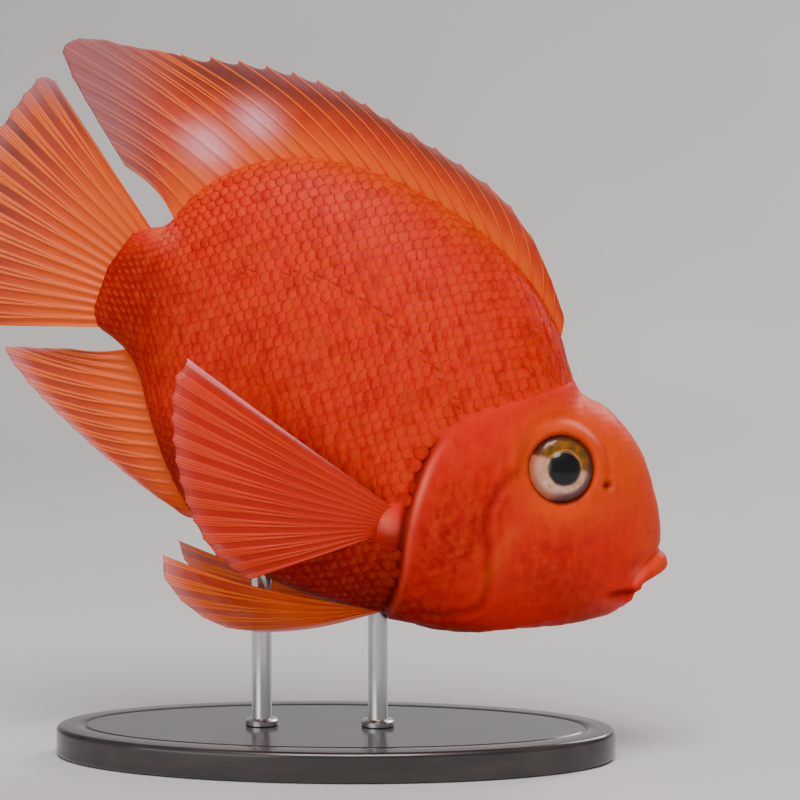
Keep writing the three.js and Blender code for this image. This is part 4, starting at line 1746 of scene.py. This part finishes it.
    @staticmethod
    def caudal_tint(p: FinPoints) -> Array:
        """Smoky streaks outward and a violet upper corner.

        Args:
            p: Points of the fin.

        Returns:
            How pale, smoky and violet each point is.
        """
        x, z = p.at[:, 0], p.at[:, 2]
        wave = 0.5 + 0.5 * np.sin(p.share * 47.0) * np.sin(p.share * 19.0 + 1.0)
        dusk = (0.35 + 0.55 * wave) * smooth(p.reach, 0.45, 0.95)
        violet = 0.75 * smooth(z - 0.35 * x, 34, 48) + 0.2 * smooth(p.reach, 0.88, 1.0)
        return np.stack([0.15 * smooth(p.reach, 0.85, 1.0), dusk, violet.clip(0, 1)], axis=-1)

    def caudal(self) -> Fin:
        """The tail fin."""
        return Fin(
            "rayed_caudal_fin",
            ("caudal_fin",),
            self.on_flat(Line(self.caudal_root)),
            self.on_flat(Line(self.caudal_tips)),
            np.linspace(0.0, 1.0, 16),
            np.array([0.0, 1.0, 0.0]),
            np.zeros(3),
            lambda t, v: 3.0 * v * v + 0 * t,
            self.caudal_tint,
            rows=48,
        )

    @staticmethod
    def anal_tint(p: FinPoints) -> Array:
        """A pink lower edge.

        Args:
            p: Points of the fin.

        Returns:
            How pale, smoky and violet each point is.
        """
        pale = 0.45 * smooth(p.reach, 0.8, 1.0) + 0.3 * smooth(p.share, 0.06, 0.0)
        dusk = 0.25 * smooth(p.reach, 0.3, 0.8) * smooth(p.reach, 1.0, 0.8)
        return np.stack([pale, dusk, 0.15 * smooth(p.at[:, 0], -8, -18)], axis=-1)

    def anal(self) -> Fin:
        """The anal fin."""
        return Fin(
            "rayed_anal_fin",
            ("anal_fin",),
            self.on_flat(self.along(self.flesh.belly, self.anal_root)),
            self.on_flat(Line(self.anal_tips)),
            np.linspace(0.0, 1.0, 15),
            np.array([0.0, 1.0, 0.0]),
            np.array([0.0, 0.0, -0.8]),
            lambda t, v: -1.5 * v * v + 0 * t,
            self.anal_tint,
            spines=5,
            notch=(0.05, 0.02),
        )

    @staticmethod
    def pectoral_tint(p: FinPoints) -> Array:
        """A pale upper edge.

        Args:
            p: Points of the fin.

        Returns:
            How pale, smoky and violet each point is.
        """
        edge = 0.7 * smooth(p.share, 0.035, 0.0) * smooth(p.reach, 0.2, 0.65)
        pale = edge + 0.1 * smooth(p.reach, 0.9, 1.0)
        return np.stack([pale, 0.05 * smooth(p.reach, 0.15, 0.6), 0.0 * p.share], axis=-1)

    def pectoral(self, flank: Flank) -> Fin:
        """A pectoral fin, fanned back over the flank.

        Args:
            flank: The side of the fish.

        Returns:
            The fin.
        """
        return Fin(
            f"rayed_pectoral_fin_{flank.side}",
            (f"pectoral_fin_{flank.side}",),
            self.on_flank(self.pectoral_root, flank),
            self.on_flank(self.pectoral_tips, flank),
            np.linspace(0.0, 1.0, 13),
            unit([0.25, flank.value, 0.1]),
            np.array([0.0, flank.value * 2.6, 0.0]),
            lambda t, v: 0.35 * np.sin(t * 17.0) * v * v,
            self.pectoral_tint,
            thick=(0.5, 0.13),
            fineness=10,
        )

    @staticmethod
    def pelvic_tint(p: FinPoints) -> Array:
        """A pale pink leading edge.

        Args:
            p: Points of the fin.

        Returns:
            How pale, smoky and violet each point is.
        """
        pale = 0.7 * smooth(p.share, 0.22, 0.0) + 0.35 * smooth(p.reach, 0.85, 1.0)
        return np.stack([pale, 0.25 * smooth(p.reach, 0.3, 0.9), 0.0 * p.share], axis=-1)

    def pelvic(self, flank: Flank) -> Fin:
        """A pelvic fin, laid back under the belly.

        Args:
            flank: The side of the fish.

        Returns:
            The fin.
        """
        return Fin(
            f"rayed_pelvic_fin_{flank.side}",
            (f"pelvic_fin_{flank.side}",),
            self.on_flank(self.pelvic_root, flank),
            self.on_flank(self.pelvic_tips, flank),
            np.linspace(0.0, 1.0, 6),
            unit([0.08, flank.value * 0.92, 0.38]),
            np.array([0.0, flank.value * 1.0, -1.5]),
            lambda t, v: 0.3 * np.sin(t * 11.0) * v * v,
            self.pelvic_tint,
            spines=1,
            thick=(0.55, 0.15),
            fineness=14,
        )

    def build(self, dorsal: FinFinish, rear: FinFinish, paired: FinFinish) -> None:
        """Makes every fin.

        Args:
            dorsal: The dorsal fin's finish.
            rear: The finish of the caudal, anal and pelvic fins.
            paired: The pectoral fins' finish.
        """
        self.dorsal().build(dorsal.build("dorsal_fin"))
        orange = rear.build("orange_fin")
        self.caudal().build(orange)
        self.anal().build(orange)
        red = paired.build("pectoral_fin")
        for flank in Flank:
            self.pectoral(flank).build(red)
            self.pelvic(flank).build(orange)


@dataclass(frozen=True)
class EyeFinish:
    """The colours of the eye, in linear light.

    Attributes:
        pupil: The pupil.
        iris: The pale ring round it.
        pearl: The ring's brighter parts.
        olive: The crescent over the top, whose olive also paints the brow's shadow on the iris.
        rim: The dark edge, painted shade where the eye meets its socket, and the dark line round the pupil.
        gold: The thin line round the pupil.
        ochre: The lighter parts of the crescent.
        violet: The ring's front lower part, darkened as painted shade.
        edge: Where the eye meets the skin.
    """

    pupil: Colour = (0.004, 0.004, 0.006)
    iris: Colour = (0.52, 0.24, 0.18)
    pearl: Colour = (0.74, 0.47, 0.40)
    olive: Colour = (0.095, 0.042, 0.004)
    rim: Colour = (0.065, 0.015, 0.005)
    gold: Colour = (0.70, 0.36, 0.10)
    ochre: Colour = (0.32, 0.10, 0.006)
    violet: Colour = (0.09, 0.025, 0.06)
    edge: Colour = (0.50, 0.13, 0.05)

    def build(self, name: str) -> Material:
        """Makes the material from the radius and the up and forward shares kept on the eyeball.

        Args:
            name: The material's name.

        Returns:
            The material.
        """
        g = Graph(name)
        radius, up, ahead = g.kept("iris")
        mottle, fine = g.noise(500, 4.0, 0.6), g.noise(2400, 3.0, 0.6)
        wobble = g.maths("MULTIPLY_ADD", mottle, 0.8, -0.4)
        place = g.plus(radius, wobble)
        colour = g.blend(g.span(mottle, 0.35, 0.65), self.iris, self.pearl)
        colour = g.blend(g.times(g.span(fine, 0.35, 0.75), 0.35), colour, self.gold)
        colour = g.blend(g.span(place, 5.2, 6.8, 0.0, 0.8), colour, self.edge)
        # The olive crescent over the top also paints the brow's shadow.
        lean = g.times(g.plus(up, g.times(ahead, -0.17)), radius)
        crescent = g.times(g.span(g.plus(lean, wobble), 0.4, 1.6), g.span(place, 3.6, 3.9))
        shade = g.blend(g.span(mottle, 0.3, 0.7), self.olive, self.ochre)
        colour = g.blend(crescent, colour, shade)
        # Painted shade: violet over the ring's front lower part.
        down = g.minus(ahead, g.times(up, 0.35))
        lower = g.times(g.span(down, 0.25, 0.85), g.span(place, 4.9, 6.0))
        colour = g.blend(g.times(lower, 0.85), colour, self.violet)
        # Painted shade: the outer edge darkens, most under the brow and at the front lower part.
        shaded = g.plus(g.times(g.plus(crescent, lower), 0.8), 0.2)
        colour = g.blend(g.times(shaded, g.span(place, 5.8, 6.9)), colour, self.rim)
        ring = g.times(g.span(place, 3.8, 4.0), g.span(place, 4.5, 4.2))
        colour = g.blend(g.times(ring, 0.35), colour, self.gold)
        colour = g.blend(g.span(place, 4.1, 3.75, 0.0, 0.75), colour, self.rim)
        colour = g.blend(g.span(radius, 3.72, 3.5), colour, self.pupil)
        g.set(Base_Color=colour, Roughness=0.3, Normal=g.relief(fine, 0.00004, 0.4))
        g.set(Coat_Weight=0.8, Coat_Roughness=0.03, Coat_IOR=1.36, Specular_IOR_Level=0.15)
        return g.material


@dataclass(frozen=True)
class Eye:
    """An eyeball with a pale iris and a pupil that stands out of it, in millimetres.

    Attributes:
        seat: Where the eyes sit.
        flank: Which side of the head it is on.
        profile: Its outline from front to back, as [radius, height above its centre].
        steps: How many steps the outline has.
        around: How many points each of its rings has.
        seen: The height down to which the iris's colours reach.
        hidden: The radius that the surface below that is coloured as.
    """

    seat: EyeSeat
    flank: Flank
    profile: tuple[Flat, ...] = (
        (0.0, 3.15), (1.0, 3.1), (2.0, 2.95), (3.0, 2.62), (3.6, 2.3), (3.9, 2.02), (4.2, 1.95), (5.0, 1.85),
        (5.8, 1.6), (6.5, 1.25), (7.1, 0.7), (7.45, 0.0), (7.5, -0.9), (7.1, -2.2), (5.7, -3.9), (3.2, -5.3),
        (0.0, -5.9),
    )
    steps: int = 60
    around: int = 72
    seen: float = -1.5
    hidden: float = 8.0

    def build(self, finish: Material) -> None:
        """Makes the eye and hands it over.

        Args:
            finish: The eye's material.
        """
        line = Line(self.profile).even(np.linspace(0.0, 1.0, self.steps + 1))
        radius, height = np.maximum(line[1:-1, 0], 0.02), line[1:-1, 1]
        turns = np.arange(self.around) * 2 * math.pi / self.around
        centre, ahead, up, out = self.seat.axes(self.flank)
        ring = np.cos(turns)[None, :, None] * ahead + np.sin(turns)[None, :, None] * up
        points = centre + radius[:, None, None] * ring + height[:, None, None] * out
        ends = [centre + line[0, 1] * out, centre + line[-1, 1] * out]
        placed = POSE.place(np.vstack([points.reshape(-1, 3), ends]))
        name = f"eyeball_{self.flank.side}"
        mesh = new_mesh(name, placed, outward(placed, pointed_faces(len(radius), self.around)))
        front = np.where(height > self.seen, radius, self.hidden)
        kept = np.broadcast_arrays(front[:, None], np.sin(turns)[None, :], np.cos(turns)[None, :])
        kept = np.stack(kept, axis=-1).reshape(-1, 3)
        keep_vector(mesh, "iris", np.vstack([kept, [[0.0, 0.0, 0.0], [self.hidden, 0.0, 0.0]]]))
        hand_over(show(name, mesh, finish), Slot.EYE, f"eye_{self.flank.side}")


@dataclass(frozen=True)
class StandFinish:
    """The lacquer of the base and the steel of the rods, in linear light.

    Attributes:
        lacquer: The black lacquer.
        grain: The grain of the wood where it shows through.
        steel: The steel.
    """

    lacquer: Colour = (0.012, 0.010, 0.010)
    grain: Colour = (0.030, 0.022, 0.018)
    steel: Colour = (0.56, 0.56, 0.57)

    def lacquered(self) -> Material:
        """Makes black lacquer over wood, with a faint grain under it.

        Returns:
            The material.
        """
        g = Graph("black_lacquer")
        grain = g.noise(1.6, 4.0, at=g.stretched((18.0, 160.0, 160.0)))
        tint = g.blend(g.span(grain, 0.35, 0.7), self.lacquer, self.grain)
        g.set(Base_Color=tint, Roughness=0.32, Normal=g.relief(grain, 0.00008, 0.25))
        g.set(Coat_Weight=0.6, Coat_Roughness=0.12)
        return g.material

    def brushed(self) -> Material:
        """Makes steel brushed along its length.

        Returns:
            The material.
        """
        g = Graph("brushed_steel")
        lines = g.noise(1.0, at=g.stretched((900.0, 900.0, 14.0)))
        g.set(Base_Color=(*self.steel, 1.0), Metallic=1.0, Roughness=g.span(lines, 0.3, 0.7, 0.2, 0.38))
        g.set(Normal=g.relief(lines, 0.00002, 0.3))
        return g.material


@dataclass(frozen=True)
class Stand:
    """The flat oval base and the two rods that hold the fish up, in millimetres in the row frame.

    Attributes:
        length: The base's length.
        width: The base's width.
        height: The base's height.
        edge: The radius of the base's rounded edges.
        rest: How wide the flat ring next to each rounded edge is.
        groove: The groove in the base's top, as [how far in from the edge, how deep].
        rod_radius: The rods' radius.
        rod_edge: How far the rods' tops are bevelled.
        collar: The collar at a rod's foot, as [how far out from the rod, how far above the base].
        rods: The solid that each rod replaces and where along X it stands.
        overlap: How far the rods reach past the skin over them.
    """

    length: float = 130.0
    width: float = 64.0
    height: float = 7.0
    edge: float = 1.2
    rest: float = 3.0
    groove: tuple[Flat, ...] = ((6.0, 0.0), (6.6, 0.4), (7.2, 0.0))
    rod_radius: float = 2.3
    rod_edge: float = 0.3
    collar: tuple[Flat, ...] = ((1.0, 0.0), (1.5, 0.2), (1.5, 1.2), (1.1, 1.6), (0.1, 1.7), (0.0, 1.9))
    rods: tuple[tuple[str, float], ...] = (("stand_rod_front", 10.0), ("stand_rod_rear", -17.0))
    overlap: float = 0.3

    @staticmethod
    def turned(name: str, rings: Sequence[Sequence[float]], turns: int, crease: float) -> Mesh:
        """Makes a closed mesh of oval rings.

        Args:
            name: The mesh's name.
            rings: [centre x, half length, half width, height] of each ring, the first and last as caps.
            turns: How many points each ring has.
            crease: The angle in degrees from which its edges are sharp.

        Returns:
            The mesh.
        """
        angles = np.arange(turns) * 2 * math.pi / turns
        points = np.array([(x + a * math.cos(t), b * math.sin(t), z) for x, a, b, z in rings for t in angles])
        faces = ring_faces(len(rings), turns)
        faces.append(tuple(range(turns)))
        faces.append(tuple(reversed(range((len(rings) - 1) * turns, len(rings) * turns))))
        mesh = new_mesh(name, points * MM, outward(points, faces))
        mesh.set_sharp_from_angle(angle=math.radians(crease))
        return mesh

    def base(self, finish: Material) -> None:
        """Makes the base and hands it over.

        Args:
            finish: The lacquer.
        """
        quarter = np.linspace(0.0, math.pi / 2, 7)
        rounded = zip(self.edge * (1 - np.sin(quarter)), self.edge * (1 - np.cos(quarter)))
        lower = [(self.edge + self.rest, 0.0), *rounded]
        upper = [(inset, self.height - low) for inset, low in reversed(lower)]
        groove = [(inset, self.height - deep) for inset, deep in self.groove]
        long, wide = self.length / 2, self.width / 2
        rings = [(0.0, long - inset, wide - inset, z) for inset, z in (*lower, *upper, *groove)]
        name = "base_board"
        hand_over(show(name, self.turned(name, rings, 144, 50), finish), Slot.BASE, "stand_base")

    def rod(self, node: str, x: float, top: float, finish: Material) -> None:
        """Makes a rod with a collar at its foot and hands it over.

        Args:
            node: The solid that it replaces.
            x: Where it stands.
            top: How high it reaches.
            finish: The steel.
        """
        r = self.rod_radius
        profile = [(r + wide, self.height + high) for wide, high in self.collar]
        profile.append((r, (self.height + top) / 2))
        profile += [(r, top - self.rod_edge), (r - self.rod_edge, top)]
        name = node.replace("stand", "steel")
        mesh = self.turned(name, [(x, radius, radius, z) for radius, z in profile], 48, 40)
        hand_over(show(name, mesh, finish), Slot.ROD, node)

    def build(self, finish: StandFinish, skin: Skin) -> None:
        """Makes the stand, with its rods up to the belly.

        Args:
            finish: The stand's finish.
            skin: The skin that the rods carry.
        """
        self.base(finish.lacquered())
        steel = finish.brushed()
        shares, turns = np.linspace(0.1, 0.5, 400), np.linspace(math.pi - 0.4, math.pi + 0.4, 41)
        belly = POSE.place(skin.surface(shares[:, None], turns[None, :])[0]).reshape(-1, 3) / MM
        for node, x in self.rods:
            over = np.hypot(belly[:, 0] - x, belly[:, 1]) < self.rod_radius
            self.rod(node, x, float(belly[over, 2].max()) + self.overlap, steel)


@dataclass(frozen=True)
class Lamp:
    """A soft square light.

    Attributes:
        name: The light's name.
        at: Where it stands in the row frame, in metres.
        power: Its power in watts.
        size: How wide it is, in metres.
        colour: Its colour.
    """

    name: str
    at: Point
    power: float
    size: float
    colour: Colour = (1.0, 0.98, 0.96)

    def build(self, target: Vector) -> None:
        """Adds the light.

        Args:
            target: What it shines at, in metres.
        """
        data = bpy.data.lights.new(self.name, "AREA")
        data.energy, data.size, data.color = self.power, self.size, self.colour
        piece = bpy.data.objects.new(self.name, data)
        piece.location = self.at
        piece.rotation_euler = (Vector(self.at) - target).to_track_quat("Z", "Y").to_euler()
        bpy.context.scene.collection.objects.link(piece)


@dataclass(frozen=True)
class Studio:
    """The camera, lights, floor and backdrop.

    Attributes:
        target: What the camera looks at, in millimetres in the row frame.
        distance: How far from it the camera stands, in millimetres.
        azimuth: How far round from the right flank it stands, toward the head.
        elevation: How far above level it stands.
        lens: Its focal length on a 36 mm sensor.
        lamps: The lights.
        air: The colour of the light from all round.
        air_strength: How strong that light is.
        paper: The two colours that the backdrop's paper varies between.
        floor_half: How far the floor reaches to each side and forward, in metres.
        sweep: Where the backdrop starts to rise and how wide its curve is, in metres.
        top: How high the backdrop is, in metres.
    """

    target: Point = (15.15, 0.0, 82.8)
    distance: float = 600.0
    azimuth: float = math.radians(3.0)
    elevation: float = math.radians(4.0)
    lens: float = 117.4
    lamps: tuple[Lamp, ...] = (
        Lamp("key", (0.0, -0.55, 1.10), 12.5, 0.55, (1.0, 0.97, 0.93)),
        Lamp("fill", (-0.7, -1.0, 0.25), 4.5, 0.9),
        Lamp("rim", (0.55, 0.75, 0.75), 6.0, 0.5),
    )
    air: Colour = (1.0, 0.97, 0.94)
    air_strength: float = 0.35
    paper: tuple[Colour, Colour] = ((0.62, 0.62, 0.63), (0.66, 0.66, 0.66))
    floor_half: float = 9.0
    sweep: Flat = (0.7, 0.5)
    top: float = 6.0

    def camera(self) -> None:
        """Makes the camera, in the photo's framing."""
        data = bpy.data.cameras.new("camera")
        data.lens, data.sensor_width = self.lens, 36.0
        data.clip_start, data.clip_end = 0.01, 20.0
        piece = bpy.data.objects.new("camera", data)
        level = math.cos(self.elevation)
        sideways, forward = level * math.sin(self.azimuth), level * math.cos(self.azimuth)
        away = Vector((sideways, -forward, math.sin(self.elevation)))
        piece.location = (Vector(self.target) + away * self.distance) * MM
        piece.rotation_euler = away.to_track_quat("Z", "Y").to_euler()
        bpy.context.scene.collection.objects.link(piece)
        bpy.context.scene.camera = piece

    def backdrop(self) -> None:
        """Makes the pale floor, which sweeps up behind the fish."""
        start, curve = self.sweep
        turns = np.linspace(-math.pi / 2, 0.0, 16)[1:]
        profile = [(-self.floor_half, 0.0), (start, 0.0)]
        profile += [(start + curve * math.cos(t), curve + curve * math.sin(t)) for t in turns]
        profile.append((start + curve, self.top))
        points = [(x, y, z) for x in (-self.floor_half, self.floor_half) for y, z in profile]
        count = len(profile)
        faces = [(i, count + i, count + i + 1, i + 1) for i in range(count - 1)]
        g = Graph("pale_paper")
        g.set(Base_Color=g.blend(g.span(g.noise(3.0), 0.35, 0.65), *self.paper), Roughness=0.8)
        show("backdrop", new_mesh("backdrop", np.array(points), faces), g.material)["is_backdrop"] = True

    def build(self) -> None:
        """Sets up the lights, the light from all round and the backdrop."""
        for lamp in self.lamps:
            lamp.build(Vector(self.target) * MM)
        world = bpy.data.worlds.new("studio")
        bpy.context.scene.world = world
        world.use_nodes = True
        net = Net(world.node_tree)
        net.feed(world.node_tree.nodes["Background"], Color=(*self.air, 1.0), Strength=self.air_strength)
        self.backdrop()


def plain_numbers(value: object) -> object:
    """Turns a box into plain numbers.

    Args:
        value: A number, or numbers by name or in order, to any depth.

    Returns:
        The same as a number, dictionary or list.
    """
    if isinstance(value, dict):
        return {str(key): plain_numbers(part) for key, part in value.items()}
    if isinstance(value, (int, float)):
        return float(value)
    return [plain_numbers(part) for part in value]


def write_sizes() -> None:
    """Works out the solids' box and the finished model's."""
    boxes = {"solids": plain_numbers(CAD_BOX), "model": plain_numbers(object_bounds())}


def main() -> None:
    """Builds the camera, the fish, its stand and the studio in order."""
    logging.basicConfig(level=logging.INFO, format="%(name)s: %(message)s")
    studio = Studio()
    studio.camera()
    seat, relief = EyeSeat(), Relief()
    markings = Markings(relief, seat)
    finish = SkinFinish()
    skin = Skin(Flesh(SECTIONS), relief, seat)
    skin.build(markings, finish)
    scales = finish.build("fish_scales", scaled=True)
    for flank, seed in ((Flank.RIGHT, 11), (Flank.LEFT, 12)):
        ScaleCoat(skin, flank, seed).build(markings, scales)
    base, web, ray = (0.70, 0.022, 0.0005), (0.60, 0.014, 0.0005), (0.74, 0.040, 0.002)
    Fins(skin.flesh).build(FinFinish(), FinFinish(spread=0.85), FinFinish(base, web, ray, clear=0.22))
    eye = EyeFinish().build("eye")
    for flank in Flank:
        Eye(seat, flank).build(eye)
    Stand().build(StandFinish(), skin)
    studio.build()
    write_sizes()


if __name__ == "__main__":
    main()
